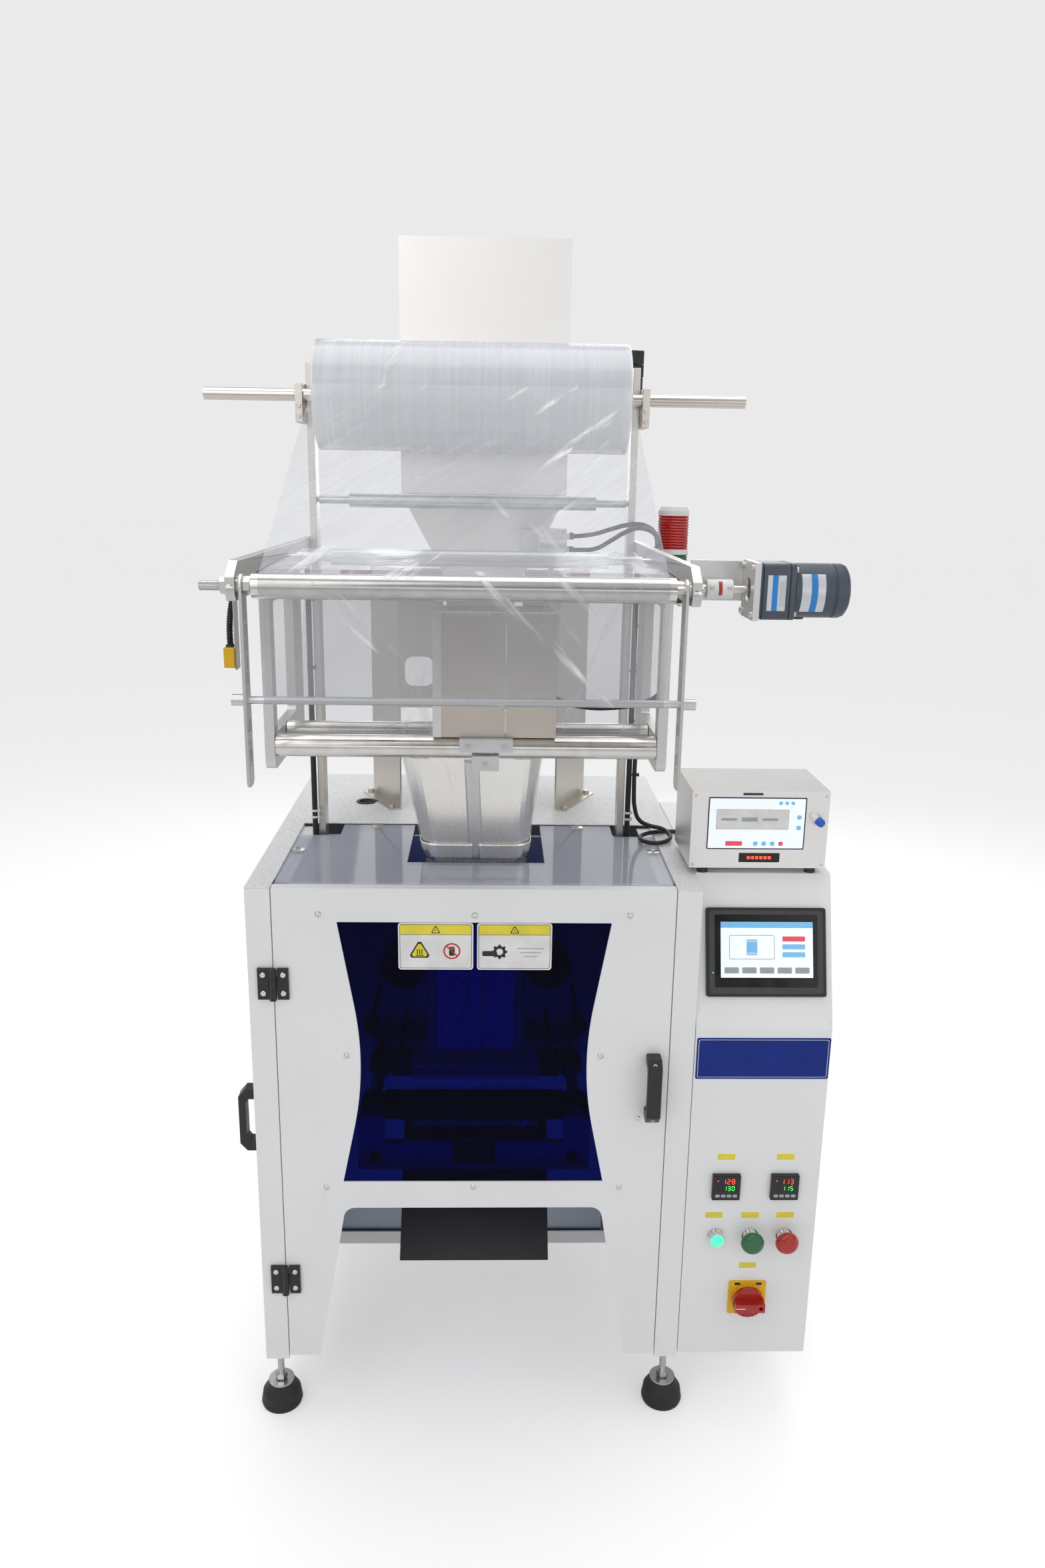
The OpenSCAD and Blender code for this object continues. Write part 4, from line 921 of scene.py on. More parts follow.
def make_gearmotor():
    """The gearhead's stepped square body, the motor's can, labels, a rubber stub below, and all screws."""
    motor = Piece("gearmotor_body")
    half = (MOTOR_HIGH.z - MOTOR_LOW.z) / 2
    sections = ((MOTOR_LOW.x, 4, half - 1.5), (MOTOR_LOW.x + 4, 33, half), (MOTOR_LOW.x + 37, 1.2, half - 1),
                (MOTOR_LOW.x + 38.2, 6.8, half))
    for x, depth, size in sections:
        motor.add(prism(rounded(size, size, 7), depth, 0.8), MOTOR_GREY, (x, *MOTOR_YZ), TO_RIGHT)
    can = half - 0.6
    profile = [(0, 0), (can - 1, 0), (can, 1), (can, 50), (can - 1.4, 51), (can - 1.4, 53), (can, 54),
               (can, 63), (can - 2, 68), (can - 7, 71.4), (can - 10, 72), (0, 72)]
    motor.add(lathe(profile, 64), MOTOR_GREY, (HEAD_END, *MOTOR_YZ), TO_RIGHT)
    for y in (-27, 27):
        for z in (-27, 27):
            motor.add(cap_screw(4, 4), ZINC, (HEAD_END - 0.5, MOTOR_YZ[0] + y, MOTOR_YZ[1] + z), TO_RIGHT)
    front = MOTOR_LOW.y
    foot, head = MOTOR_YZ[1] - 23, MOTOR_YZ[1] + 21
    motor.add(block((MOTOR_LOW.x + 9, front - 0.5, foot), (MOTOR_LOW.x + 32, front, head)), LABEL_SILVER)
    motor.add(block((MOTOR_LOW.x + 15, front - 0.7, foot), (MOTOR_LOW.x + 22, front - 0.5, head)), LABEL_BLUE)
    for start, stop, lift, material in ((8, 38, 0.4, LABEL_SILVER), (20, 28, 0.7, LABEL_BLUE)):
        motor.add(curved_label(can + lift, start, stop), material, (HEAD_END, *MOTOR_YZ))
    for k in range(4):
        line = block((MOTOR_LOW.x + 24.5 + 1.8 * k, front - 0.6, MOTOR_YZ[1] - 18),
                     (MOTOR_LOW.x + 25.2 + 1.8 * k, front - 0.5, MOTOR_YZ[1] + 14))
        motor.add(line, PRINT_GREY)
    motor.add(rod(9, 0, 4), RUBBER, (HEAD_END + 14, MOTOR_YZ[0] + 8, MOTOR_YZ[1] - half - 2))
    motor.finish("gearmotor")
    plate_x = span_of("motor_bracket")[1].x - 8
    screws = Piece("motor_plate_screws")
    for y in (-29, 29):
        for z in (-29, 29):
            screws.add(cap_screw(4.2, 3.5), ZINC, (plate_x, MOTOR_YZ[0] + y, MOTOR_YZ[1] + z), TO_LEFT)
    screws.finish()


def curved_label(radius, start, stop):
    """A label bent round the front of the motor, from start to stop along X."""
    def where(u, v):
        a = math.radians(140 + 85 * v)
        return Vector((start + (stop - start) * u, radius * math.cos(a), radius * math.sin(a)))
    return grid(2, 20, where)


COUPLING = (296, 311, 315, 330)


def make_drive_shaft():
    """The roller shaft, its jaw coupling with two clamp hubs and a red spider, and the motor's stub."""
    shaft = Piece("drive_shaft_and_coupling", "drive_shaft")
    low, high = span_of("drive_shaft")
    half = (ARM_HIGH.x - ARM_LOW.x) / 2 - 13
    middle = (0, *DRIVE)
    shaft.add(rod(10, UPPER_X - half, UPPER_X + half), BAR_STEEL, middle, TO_RIGHT)
    shaft.add(rod(6, low.x, COUPLING[0]), BAR_STEEL, middle, TO_RIGHT)
    shaft.add(rod(5, COUPLING[3], high.x), BAR_STEEL, middle, TO_RIGHT)
    shaft.add(rod(12.5, COUPLING[0], COUPLING[1], 1), WHITE, middle, TO_RIGHT)
    shaft.add(rod(12.2, COUPLING[1], COUPLING[2], 0.3), SILICONE, middle, TO_RIGHT)
    shaft.add(rod(12.5, COUPLING[2], COUPLING[3], 1), WHITE, middle, TO_RIGHT)
    for k in range(3):
        turn = Matrix.Rotation(math.radians(120 * k + 20), 4, "X")
        tooth = block((COUPLING[1] - 1, -3.2, 9), (COUPLING[2] + 1, 3.2, 12.45), 0.4)
        shaft.add(tooth, WHITE, middle, turn)
    for x in (COUPLING[0] + 6, COUPLING[3] - 6):
        shaft.add(cap_screw(2.6, 2.2), ZINC, (x, DRIVE[0] - 12.2, DRIVE[1] + 3), TO_FRONT)
    shaft.finish("drive_shaft")
    sleeve_low, sleeve_high = span_of("drive_sleeves")
    ends = Piece("sleeve_end_rings", "drive_shaft")
    for x in (sleeve_low.x - 9, sleeve_low.x + 38, sleeve_high.x - 47, sleeve_high.x):
        ends.add(rod(11.5, x, x + 9, 0.8), WHITE, middle, TO_RIGHT)
    ends.finish()


make_gearmotor()
make_drive_shaft()


# ---------- upper frame ----------
def make_signal_tower():
    """White cap, red lens, white ring, green lens and a dark foot on a folded bracket."""
    x, y = 339, 322
    tower = Piece("signal_tower_stack")
    foot, green, ring, red, cap = 1440, 1474, 1524, 1533, 1590

    def ribbed(start, stop, radius=27.5):
        profile = [(0, start), (radius, start)]
        count = int((stop - start) / 4.5)
        for k in range(count):
            base = start + (stop - start) * k / count
            profile += [(radius, base + 0.5), (radius - 1.5, base + 2.2), (radius, base + 3.9)]
        return lathe(profile + [(radius, stop), (0, stop)], 64)

    tower.add(rod(25, foot, green, 1), RUBBER, (x, y, 0))
    tower.add(ribbed(green, ring), GREEN_LENS, (x, y, 0))
    tower.add(rod(28, ring, red, 0.8, 64), WHITE, (x, y, 0))
    tower.add(ribbed(red, cap), RED_LENS, (x, y, 0))
    dome_profile = [(0, cap), (27, cap), (27, cap + 8), (22, cap + 15), (0, cap + 17)]
    tower.add(lathe(dome_profile, 64), WHITE, (x, y, 0))
    tower.add(block((ARM_HIGH.x, 306, foot - 3), (378, 344, foot), 0.8), ALUMINIUM)
    tower.add(block((ARM_HIGH.x, 306, foot - 3), (ARM_HIGH.x + 3, 344, 1540), 0.8), ALUMINIUM)
    for dx in (-16, 16):
        tower.add(cap_screw(3.5, 3), ZINC, (x + dx, y - 12, foot - 3), Matrix.Rotation(math.pi, 4, "X"))
    tower.finish("signal_tower")


def make_arm_details():
    """Clamp bolts on the arms' front faces, the roller shaft's thread and the cradles' screws."""
    bolts = Piece("arm_front_bolts")
    for x in (ARM_LOW.x + 6, ARM_HIGH.x - 6):
        bolts.add(prism(disc(5.5, steps=6), 0.9, 0.2), CHROME, (x, ARM_LOW.y, 1513), TO_FRONT)
    for x in (ARM_LOW.x + 6, ARM_HIGH.x - 6):
        for z in (1742, 1758):
            bolts.add(cap_screw(3.6, 3.5), ZINC, (x, 262, z), TO_FRONT)
    bolts.finish()
    thread = Piece("roller_shaft_thread")
    turns = [(6.05 + 0.45 * (k % 2), -15 + k * 0.9) for k in range(34)]
    thread.add(lathe([(0, -15)] + turns + [(0, turns[-1][1])], 24), ZINC,
               (ARM_LOW.x - 20, *FRONT_ROLLER), TO_RIGHT)
    thread.finish()


def swept(route, radius_at, sides=14):
    """A round body along a route, its radius given by the distance run."""
    shape = bmesh.new()
    points = [Vector(p) for p in route]
    rings, run = [], 0.0
    for k, point in enumerate(points):
        heading = (points[min(k + 1, len(points) - 1)] - points[max(k - 1, 0)]).normalized()
        side = heading.cross(Vector((1, 0, 0))).normalized()
        up = side.cross(heading)
        run += (point - points[k - 1]).length if k else 0.0
        radius = radius_at(run)
        rings.append([shape.verts.new(point + radius * (side * math.cos(a) + up * math.sin(a)))
                      for a in (2 * math.pi * j / sides for j in range(sides))])
    for low, high in zip(rings, rings[1:]):
        for j in range(sides):
            shape.faces.new((low[j], low[(j + 1) % sides], high[(j + 1) % sides], high[j]))
    shape.faces.new(rings[0])
    shape.faces.new(rings[-1])
    bmesh.ops.recalc_face_normals(shape, faces=shape.faces)
    return shape


def make_sensor_hose():
    """A ribbed hose from behind the left arm down to the yellow sensor."""
    start, bulge, stop = Vector((-308, -225, 1500)), Vector((-313, -252, 1476)), Vector((-311, -251, 1434))
    count = 66
    route = [start.lerp(bulge, t).lerp(bulge.lerp(stop, t), t) for t in (k / count for k in range(count + 1))]
    hose = Piece("dancer_sensor_hose")
    hose.add(swept(route, lambda run: 3.9 + 0.7 * math.cos(run * 2 * math.pi / 3.2)), CABLE)
    hose.add(block((-316, -258, 1431), (-306, -244, 1437), 1), BLACK)
    hose.finish()


def make_head_details():
    """The print head box's bright edges, its seam with two screws, the cable's gland, the clamp's screws."""
    low, high = span_of("print_head_box")
    front = -176
    trim = Piece("head_box_trim")
    seam = low.x + (high.x - low.x) * 0.59
    trim.add(block((low.x, front - 1, 1301), (low.x + 12, front, high.z - 0.5), 0.3), ALUMINIUM)
    trim.add(block((seam - 1, front - 0.8, 1302), (seam + 1, front, high.z - 1), 0.2), BAR_STEEL)
    trim.add(block((low.x + 12, front - 0.5, high.z - 6), (high.x, front, high.z), 0.2), BAR_STEEL)
    for z in (1429, 1340):
        trim.add(dome(3, 2), ZINC, (seam, front - 0.6, z), TO_FRONT)
    trim.add(rod(8, 0, 10, 1), RUBBER, (95, -110, 1353), Matrix.Rotation(math.radians(-90), 4, "X"))
    trim.finish()
    clamp = Piece("head_clamp_screws")
    for x, z in ((-8, 1291), (42, 1291), (16, 1266)):
        clamp.add(cap_screw(3, 2.4), ZINC, (x, -188, z), TO_FRONT)
    clamp.finish()


def make_former_details():
    """The collar's middle strip, the bands round its foot and the bead round its rim."""
    collar = Piece("forming_collar_strips")
    top = Vector((FORMER_X, FORMER_Y[0] - 1, FORMER_TOP - 3))
    foot = Vector((0, TUBE_Y[0] - 1, DECK_Z + 2))
    half_strip = 12
    across = Vector((half_strip, 0, 0))
    collar.add(grid(6, 20, lambda u, v: top.lerp(foot, v) + across * (2 * u - 1)), ALUMINIUM)
    for sign in (-1, 1):
        def band(u, v):
            z = DECK_Z + 1 + 30 * v
            share = 0.02 + 0.465 * u if sign < 0 else 0.515 + 0.465 * u
            return Vector((*along_line(collar_outline(z, 3.2 + 0.3 * math.sin(v * math.pi)), share), z))
        collar.add(grid(36, 6, band), LIT_FORMED_STEEL)
    piece = collar.finish()
    sheet = piece.modifiers.new("sheet", "SOLIDIFY")
    sheet.thickness = 0.8 * MM
    rim = Piece("forming_collar_rim")
    outline = collar_outline(FORMER_TOP, 0)
    route = [Vector((x, y, FORMER_TOP)) for x, y in outline]
    rim.add(swept([along_line(route, k / 90) for k in range(91)], lambda run: 1.8, 8), LIT_FORMED_STEEL)
    rim.finish()


def make_gate_fittings():
    """Push-in fittings for the two air tubes, the cylinder's covers and its bracket screws."""
    fittings = Piece("air_fittings")
    for z in (1527, 1551):
        fittings.add(prism(disc(7, steps=6), 5, 0.5), ZINC, (155, 355, z), TO_RIGHT)
        fittings.add(rod(6.2, 5, 13, 1), BLACK, (155, 355, z), TO_RIGHT)
    for y in (229, 247):
        fittings.add(rod(6.2, 0, 9, 1), BLACK, (302, y, 1531))
    for x in (110, 148):
        for z in (1520, 1558):
            fittings.add(cap_screw(3, 2.5), ZINC, (x, 333, z), TO_FRONT)
    fittings.add(block((106, 329, 1532), (152, 333, 1546), 0.8), ALUMINIUM)
    fittings.finish()


def make_post_top():
    """The stacked black junction box on top of the right post."""
    box = Piece("post_top_box")
    for z, depth, half in ((1797, 20, 10), (1818, 20, 11), (1839, 22, 11)):
        box.add(prism(rounded(half, 13, 3), depth, 1.2), BLACK, (268, 352, z))
    box.add(block((258, 345.2, 1780), (270, 348, 1862), 0.5), BLACK_METAL)
    box.finish()


def ring_tie(piece, place, radius, material, turn=UPRIGHT, height=4):
    profile = [(radius, -height / 2), (radius + 1.1, -height / 2), (radius + 1.1, height / 2),
               (radius, height / 2), (radius, -height / 2)]
    piece.add(lathe(profile, 24), material, place, turn)
    piece.add(block((radius, -2.5, -3), (radius + 4, 2.5, 3), 0.5), material, place, turn)


def make_cable_ties():
    """White bands low on the conduits, black ties that hold the head cable to what it follows."""
    ties = Piece("cable_ties")
    for x in CONDUIT_XS:
        for z in (1046, 1058):
            ring_tie(ties, (x, 297, z), 5.1, WHITE)
        for z in (1180, 1320, 1440):
            ring_tie(ties, (x, 297, z), 5.1, BLACK)
    for z in (1130, 1230, 1330, 1400):
        ring_tie(ties, (286, 296, z), 4.1, BLACK)
    along_y = Matrix.Rotation(math.radians(90), 4, "X")
    for y in (150, 60):
        ring_tie(ties, (277.2, y, 1487), 4.2, BLACK, along_y)
        ties.add(block((272, y - 3, 1490.5), (282, y + 3, 1497), 0.8), BLACK)
    ties.finish()


def make_deck_details():
    """Steel plates under the deck cover's screws and the cable hole's rubber ring."""
    plates = Piece("deck_cover_plates")
    for side in (-1, 1):
        for x, y in ((312, 200), (187, 345)):
            plates.add(prism(rounded(11, 8, 3), 0.9, 0.2), BAR_STEEL, (side * x, y, DECK_Z - 2))
    plates.finish()
    grommet = Piece("cable_hole_ring")
    hole = (-225, 505)
    grommet.add(lathe([(14, 0), (19.5, 0), (20, 1), (19, 2.2), (16, 2.4), (14, 1.2), (14, 0)], 40), RUBBER,
                (*hole, DECK_Z))
    grommet.finish()


# ---------- doors ----------
HINGE_X, HINGE_ZS = -325, (852, 295)


def make_hinge_screws():
    for name, body, x, side_y in (("fixed_hinge_screws", "frame", HINGE_X - 16, 707),
                                  ("door_hinge_screws", "front_door", HINGE_X + 16, None)):
        screws = Piece(name, body)
        for z in HINGE_ZS:
            for dz in (-16, 16):
                screws.add(dome(5, 2.6), CHROME, (x, -5, z + dz), TO_FRONT)
                if side_y:
                    screws.add(dome(5, 2.6), CHROME, (-371, side_y, z + dz), TO_LEFT)
        screws.finish()
    screws = Piece("side_door_hinge_screws", "side_door")
    for z in HINGE_ZS:
        for dz in (-16, 16):
            screws.add(dome(5, 2.6), CHROME, (-371, 675, z + dz), TO_LEFT)
    screws.finish()


def triangle(size, centre=(0, 0)):
    """A warning triangle with cut corners."""
    outline = []
    for k in range(3):
        corner = math.radians(90 + 120 * k)
        for spread in (-9, 0, 9):
            a = corner + math.radians(spread)
            outline.append((centre[0] + size * math.cos(a), centre[1] + size * math.sin(a)))
    return outline


def add_flat(piece, outline, material, layer, thick=0.15):
    """A printed shape on a plate: each layer lies on the one before."""
    piece.add(prism(outline, thick, base=layer * 0.15), material)


def make_warning_plate(name, x, hot):
    """A blank safety plate: yellow header bar, plain triangle and a plain pictogram, with no words."""
    home = Matrix.Translation((x, 1.4, 916.5)) @ TO_FRONT
    plate = Piece(name, "front_door", home)
    half_w, half_h = 60.5, 40.5
    add_flat(plate, rounded(half_w, half_h, 5), LABEL_WHITE, 0, 0.4)
    add_flat(plate, rounded(half_w - 2.5, half_h - 2.5, 4), PRINT_BLACK, 2)
    add_flat(plate, rounded(half_w - 3.3, half_h - 3.3, 3.6), LABEL_WHITE, 3)
    add_flat(plate, rounded(half_w - 3.3, 8.2, 3, centre=(0, half_h - 11.5)), LABEL_YELLOW, 4)
    add_flat(plate, rounded(half_w - 3.3, 0.4, 0.2, centre=(0, half_h - 20.1)), PRINT_BLACK, 4)
    header = half_h - 12.5
    add_flat(plate, triangle(7.4, (0, header - 0.6)), PRINT_BLACK, 5)
    add_flat(plate, triangle(5.2, (0, header - 0.6)), LABEL_YELLOW, 6)
    add_flat(plate, rounded(0.6, 1.9, 0.5, centre=(0, header + 0.2)), PRINT_BLACK, 7)
    if hot:
        add_flat(plate, triangle(17, (-26, -9)), PRINT_BLACK, 4)
        add_flat(plate, triangle(13.2, (-26, -9)), LABEL_YELLOW, 5)
        for k in (-1, 0, 1):
            add_flat(plate, rounded(0.8, 4.2, 0.7, centre=(-26 + 3.6 * k, -9)), PRINT_BLACK, 6)
        add_flat(plate, rounded(6.5, 0.8, 0.5, centre=(-26, -15.4)), PRINT_BLACK, 6)
        add_flat(plate, disc(14, (26, -8)), PRINT_RED, 4)
        add_flat(plate, disc(11.3, (26, -8)), LABEL_WHITE, 5)
        add_flat(plate, rounded(4.6, 5, 2, centre=(26, -11)), PRINT_BLACK, 6)
        for k in range(4):
            finger = (22.6 + 2.3 * k, -3.5 - 0.5 * abs(k - 1.5))
            add_flat(plate, rounded(0.95, 4, 0.8, centre=finger), PRINT_BLACK, 6)
        slash = [(16.5, 0.2), (18, 1.7), (35.5, -16), (34, -17.5)]
        add_flat(plate, slash, PRINT_RED, 7)
    else:
        add_flat(plate, disc(10, (-24, -9)), PRINT_BLACK, 4)
        add_flat(plate, disc(5.6, (-24, -9)), LABEL_WHITE, 5)
        for k in range(8):
            a = math.radians(45 * k)
            centre = (-24 + 10.5 * math.cos(a), -9 + 10.5 * math.sin(a))
            add_flat(plate, disc(2.3, centre, 8), PRINT_BLACK, 4)
        add_flat(plate, rounded(12, 4.4, 2.5, centre=(-40, -12)), PRINT_BLACK, 6)
        for k in range(3):
            add_flat(plate, rounded(22 - 5 * k, 0.7, 0.4, centre=(26, -3 - 7 * k)), PRINT_GREY, 4)
    plate.finish()


def make_door_details():
    """The warning plates, the door's lock and handle screws, and the jaw crossbar's block behind it."""
    make_warning_plate("warning_plate_left", -62.5, True)
    make_warning_plate("warning_plate_right", 64.5, False)
    lock = Piece("door_lock_screw", "front_door")
    lock.add(dome(4.5, 2.4), CHROME, (277, 0, 607), TO_FRONT)
    lock.finish()
    grips = Piece("door_handle_screws", "front_door")
    for z in (621, 719):
        grips.add(cap_screw(3.6, 3), ZINC, (298, -26.5, z), TO_FRONT)
    grips.finish()
    stop_block = Piece("jaw_crossbar_block")
    stop_block.add(block((-36, 27, 504), (36, 40, 536), 1.5), BLACK_METAL)
    for x in (-170, 170):
        stop_block.add(rod(9, 0, 8), BLACK_METAL, (x, 40, 510), TO_FRONT)
    stop_block.finish()


# ---------- control cabinet ----------
PANEL_LOW, PANEL_HIGH = span_of("panel_displays")
BEND_Z, SLOPE_BACK = 772, 84
SLOPE = math.atan(SLOPE_BACK / (DECK_Z - BEND_Z))
SCREEN_UP = 127
SEGMENTS = {"0": "abcdef", "1": "bc", "2": "abged", "3": "abgcd", "5": "afgcd", "8": "abcdefg"}


def add_digit(piece, figure, x, y, height, material, layer):
    """One seven-segment figure, its lower left corner at x, y."""
    wide, thick = height * 0.5, height * 0.11
    half = height / 2
    bars = {"a": (0, height, wide, 0), "d": (0, 0, wide, 0), "g": (0, half, wide, 0),
            "b": (wide, half, 0, half), "c": (wide, 0, 0, half),
            "e": (0, 0, 0, half), "f": (0, half, 0, half)}
    for letter in SEGMENTS[figure]:
        x0, y0, run, rise = bars[letter]
        gap = thick * 0.6
        half_w = (run / 2 - gap) if run else thick / 2
        half_h = (rise / 2 - gap) if rise else thick / 2
        centre = (x + x0 + run / 2, y + y0 + rise / 2)
        add_flat(piece, rounded(half_w, half_h, thick * 0.3, 1, centre), material, layer)


def make_touch_panel():
    home = (Matrix.Translation(((PANEL_LOW.x + PANEL_HIGH.x) / 2, 0, BEND_Z))
            @ Matrix.Rotation(-SLOPE, 4, "X") @ TO_FRONT @ Matrix.Translation((0, SCREEN_UP, 6)))
    panel = Piece("touch_panel_face", home=home)
    glass, lit = (86, 60), (77, 46)
    frame_outline = rounded(95, 68.5, 5)
    add_flat(panel, frame_outline, BEZEL_GREY, 0, 0.5)
    add_flat(panel, rounded(*glass, 3, centre=(0, 2)), SCREEN_GLASS, 3, 0.3)
    add_flat(panel, rounded(*lit, 0.5, 1, centre=(1, 4)), SCREEN_LIT, 5)
    add_flat(panel, rounded(lit[0], 5, 0.3, 1, centre=(1, 45)), SCREEN_BLUE, 6)
    add_flat(panel, rounded(38, 20, 3, centre=(-24, 8)), PRINT_GREY, 6)
    add_flat(panel, rounded(37, 19, 2.5, centre=(-24, 8)), SCREEN_LIT, 7)
    add_flat(panel, rounded(9, 13, 2, centre=(-24, 8)), SCREEN_BLUE, 8)
    add_flat(panel, rounded(9, 1.2, 0.4, 1, centre=(-24, 18)), LABEL_WHITE, 9)
    add_flat(panel, rounded(9, 1.2, 0.4, 1, centre=(-24, -2)), LABEL_WHITE, 9)
    for k in range(3):
        add_flat(panel, rounded(19, 4.2, 1.2, centre=(46, 22 - 13 * k)), SCREEN_BLUE if k else SCREEN_RED, 6)
    for k in range(5):
        add_flat(panel, rounded(12, 5, 1.5, centre=(-58 + 29.5 * k, -30)), PRINT_GREY, 6)
    add_flat(panel, disc(1.1, (-89, -34), 12), GREEN_DIGITS, 4)
    panel.finish()


def make_controllers():
    """Black faces with two rows of figures and four keys."""
    faces = (("left_controller_face", 434, "128", "130"), ("right_controller_face", 535, "113", "115"))
    for name, x, upper, lower in faces:
        home = Matrix.Translation((x, -7, 477)) @ TO_FRONT
        face = Piece(name, home=home)
        add_flat(face, rounded(22.6, 22.6, 2), BLACK, 0, 0.6)
        add_flat(face, rounded(19, 13, 1.5, centre=(0, 6)), SCREEN_GLASS, 4)
        for k, figure in enumerate(upper):
            add_digit(face, figure, -7 + 8 * k, 8, 9, RED_DIGITS, 5)
        for k, figure in enumerate(lower):
            add_digit(face, figure, -4.5 + 7 * k, -4.5, 8, GREEN_DIGITS, 5)
        add_flat(face, rounded(1, 1, 0.4, 1, centre=(-15, 14)), RED_DIGITS, 5)
        for k in range(4):
            add_flat(face, rounded(3.8, 2.6, 1, centre=(-15 + 10 * k, -15)), PRINT_GREY, 4, 0.7)
        face.finish()


def make_panel_controls():
    """The pilot lens and its ring, the main switch's marks and knob face, and blank label strips."""
    pilot = Piece("pilot_lens_cap")
    pilot.add(lathe([(0, 0), (11.6, 0), (11.6, 4), (10.4, 6.4), (7.5, 8.2), (3.5, 9.2), (0, 9.5)], 40), PILOT,
              (422, -12, 379), TO_FRONT)
    pilot.add(lathe([(11.7, 0), (13.4, 0), (13.6, 2.5), (12.6, 4.2), (11.7, 4.2), (11.7, 0)], 40), CHROME,
              (422, -12.5, 379), TO_FRONT)
    pilot.finish()
    marks = Piece("switch_plate_marks", home=Matrix.Translation((484, -3, 254)) @ TO_FRONT)
    for x, y in ((-18, 28), (20, 28)):
        add_flat(marks, rounded(5, 2.5, 0.5, 1, centre=(x, y)), PRINT_BLACK, 0)
    for k in range(9):
        a = math.radians(180 - 22.5 * k)
        add_flat(marks, disc(0.8, (27.5 * math.cos(a), 27.5 * math.sin(a) * 0.98), 8), PRINT_BLACK, 0)
    marks.finish()
    grips = Piece("switch_knob_face", "switch_knob", Matrix.Translation((484, -19.4, 254)) @ TO_FRONT)
    for k in range(20):
        a = math.radians(18 * k)
        if abs(math.sin(a)) > 0.4:
            rib = block((24.2, -1.6, -1.5), (27.2, 1.6, 1.2), 0.5)
            grips.add(rib, RED, (0, 0, 0), Matrix.Rotation(a, 4, "Z"))
    grips.add(block((-25, -0.8, 13.9), (-8, 0.8, 14.3), 0.2), LABEL_WHITE)
    grips.finish()
    strips = Piece("blank_label_strips", home=TO_FRONT)
    for x, z in ((417, 419), (480, 419), (541, 419), (482, 318), (432, 533), (534, 533)):
        strips.add(prism(rounded(15, 5.5, 0.8, centre=(x, z)), 0.3), LABEL_YELLOW)
    strips.finish()


def make_name_plate():
    """A blank blue plate with a thin white line round it."""
    plate = Piece("blank_name_plate", home=TO_FRONT)
    centre = (482, 718.5)
    add_flat(plate, rounded(112, 37.5, 3, centre=centre), BLUE_PLATE, 0, 0.6)
    add_flat(plate, rounded(109, 34.5, 2.4, centre=centre), LABEL_WHITE, 4)
    add_flat(plate, rounded(108.2, 33.7, 2.2, centre=centre), BLUE_PLATE, 5)
    plate.finish()


def make_coder_details():
    """The coder's lit screen with plain icons, its red strip display, vent slot and stylus."""
    low, high = span_of("coder_case")
    face = Piece("coder_face", home=Matrix.Translation((0, low.y, 0)) @ TO_FRONT)
    add_flat(face, rounded(81, 44.5, 2, centre=(462, 1105)), BLACK, 0, 0.4)
    add_flat(face, rounded(79, 42.5, 1, centre=(462, 1105)), SCREEN_LIT, 3)
    add_flat(face, rounded(60, 17, 1, centre=(455, 1112)), PRINT_GREY, 4)
    add_flat(face, rounded(59.3, 16.3, 1, centre=(455, 1112)), LABEL_WHITE, 5)
    for k in range(3):
        add_flat(face, rounded(13, 2.2 + 1.4 * (k == 1), 1, centre=(416 + 34 * k, 1112)), PRINT_GREY, 6)
    add_flat(face, rounded(14, 4, 1.5, centre=(426, 1070.5)), SCREEN_RED, 4)
    for k in range(4):
        add_flat(face, disc(4, (462 + 14 * k, 1070.5)), SCREEN_BLUE if k < 3 else SCREEN_RED, 4)
    for k in range(3):
        add_flat(face, disc(3.2, (500 + 10 * k, 1140)), SCREEN_BLUE, 4)
    for z in (1116, 1098):
        add_flat(face, disc(4, (532, z)), SCREEN_BLUE, 4)
    add_flat(face, rounded(34, 8, 1, centre=(470, 1046)), SCREEN_GLASS, 0, 0.5)
    for k in range(6):
        add_flat(face, rounded(2.4, 2.6, 0.5, 1, centre=(452 + 7 * k, 1046)), RED_DIGITS, 3, 0.2)
    face.finish()
    trim = Piece("coder_trim")
    trim.add(block((437, low.y - 0.3, high.z - 7), (470, low.y + 2, high.z - 3), 0.4), BLACK)
    tilt = Vector((0.62, -0.62, -0.48)).to_track_quat("Z", "Y").to_matrix().to_4x4()
    trim.add(rod(6, 0, 14, 1), WHITE, (552, low.y + 2, 1120), tilt)
    trim.add(lathe([(0, 14), (7, 14), (7.4, 16), (6.8, 24), (4, 27.5), (0, 28)], 24), BLUE_TIP,
             (552, low.y + 2, 1120), tilt)
    for x in (low.x + 6, high.x - 6):
        for z in (low.z + 6, high.z - 8):
            trim.add(dome(2.4, 1.4), ZINC, (x, low.y, z), TO_FRONT)
    trim.finish()


for make in (make_signal_tower, make_arm_details, make_sensor_hose, make_head_details, make_former_details,
             make_gate_fittings, make_post_top, make_cable_ties, make_deck_details, make_hinge_screws,
             make_door_details, make_touch_panel, make_controllers, make_panel_controls, make_name_plate,
             make_coder_details):
    make()

# ---------- floor and light ----------
LAMPS = [
    # name, place, aim, size, watts
    ("key", (-1500, -2600, 3200), (0, 200, 1000), 2.4, 24),
    ("fill", (2200, -2200, 2200), (100, 200, 900), 2.6, 12),
    ("top", (0, 300, 4200), (0, 200, 1000), 2.6, 38),
    ("rear", (600, 3200, 2600), (0, 300, 1000), 2.6, 26),
]
FLOOR_REACH = 40.0
SKY = 0.6
FLOOR_LIFT = 0.35
BACKDROP = 0.825 / SKY


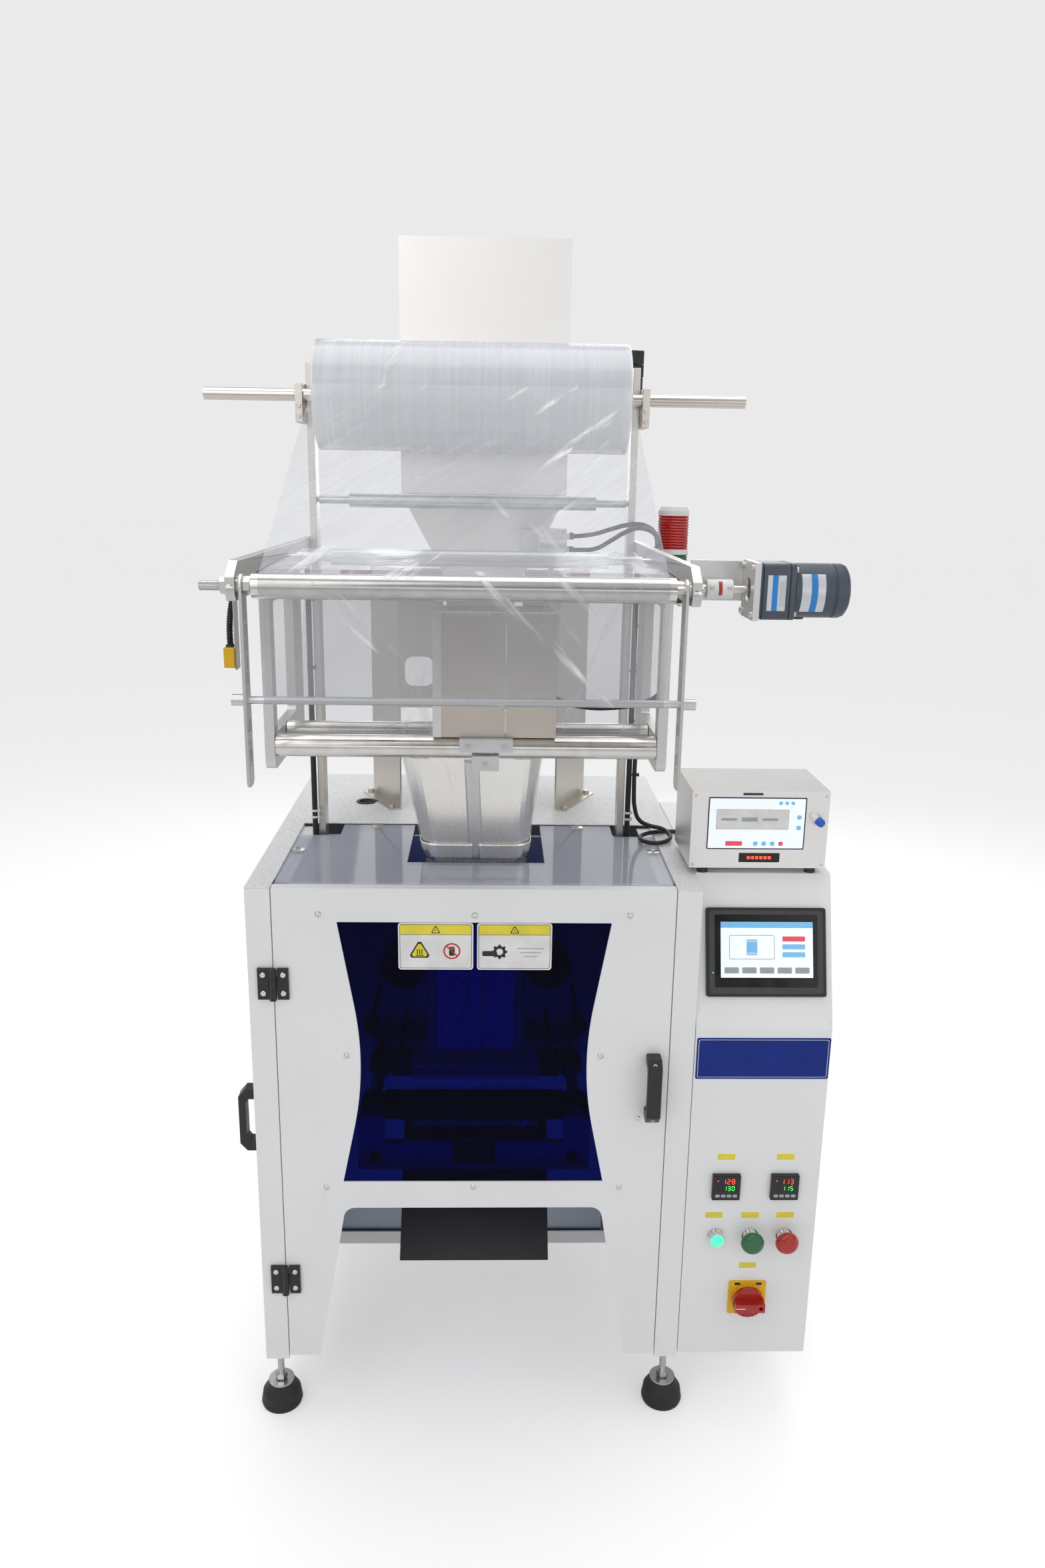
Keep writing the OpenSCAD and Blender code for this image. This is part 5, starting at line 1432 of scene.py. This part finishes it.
def pale_floor():
    """A plain pale floor, lifted evenly where the camera sees it so that it meets the backdrop."""
    s = Shader("floor", (0.90, 0.90, 0.90), 0.75)
    s.bsdf.inputs["Emission Color"].default_value = (1, 1, 1, 1)
    seen = s.add("LightPath").outputs["Is Camera Ray"]
    s.link("Emission Strength", s.maths("MULTIPLY", FLOOR_LIFT, seen))
    return s.material


def make_stage():
    floor_mesh = bpy.data.meshes.new("floor")
    corners = [(x * FLOOR_REACH, y * FLOOR_REACH, 0) for x, y in ((-1, -1), (1, -1), (1, 1), (-1, 1))]
    floor_mesh.from_pydata(corners, [], [(0, 1, 2, 3)])
    floor = bpy.data.objects.new("floor", floor_mesh)
    bpy.context.scene.collection.objects.link(floor)
    floor_mesh.materials.append(pale_floor())
    for name, place, aim, size, watts in LAMPS:
        lamp = bpy.data.lights.new(name, "AREA")
        lamp.size = size
        lamp.energy = watts
        lamp_object = bpy.data.objects.new(name, lamp)
        bpy.context.scene.collection.objects.link(lamp_object)
        lamp_object.location = at(*place)
        lamp_object.rotation_euler = (at(*aim) - at(*place)).to_track_quat("-Z", "Y").to_euler()
    world = bpy.data.worlds.new("studio")
    world.use_nodes = True
    bpy.context.scene.world = world
    tree = world.node_tree
    background = tree.nodes["Background"]
    direction = tree.nodes.new("ShaderNodeTexCoord")
    split = tree.nodes.new("ShaderNodeSeparateXYZ")
    ramp = tree.nodes.new("ShaderNodeValToRGB")
    plain = tree.nodes.new("ShaderNodeMix")
    rays = tree.nodes.new("ShaderNodeLightPath")
    plain.data_type = "RGBA"
    tree.links.new(direction.outputs["Generated"], split.inputs[0])
    tree.links.new(split.outputs["Z"], ramp.inputs["Fac"])
    # bright and dark bands by height, which the metal mirrors; the camera sees one plain tone instead
    bands = ((0.0, 2.0), (0.14, 2.0), (0.2, 0.25), (0.4, 0.35), (0.6, 0.9), (1.0, 1.1))
    for place, _ in bands[1:-1]:
        ramp.color_ramp.elements.new(place)
    for element, (place, grey) in zip(ramp.color_ramp.elements, bands):
        element.position = place
        element.color = (grey, grey, grey * 1.01, 1)
    tree.links.new(rays.outputs["Is Camera Ray"], plain.inputs["Factor"])
    a, b = [s for s in plain.inputs if s.enabled and s.name in "AB"]
    tree.links.new(ramp.outputs["Color"], a)
    b.default_value = (BACKDROP, BACKDROP, BACKDROP, 1)
    tree.links.new(next(s for s in plain.outputs if s.enabled), background.inputs["Color"])
    background.inputs["Strength"].default_value = SKY


make_stage()
bpy.context.scene.view_settings.view_transform = "Standard"
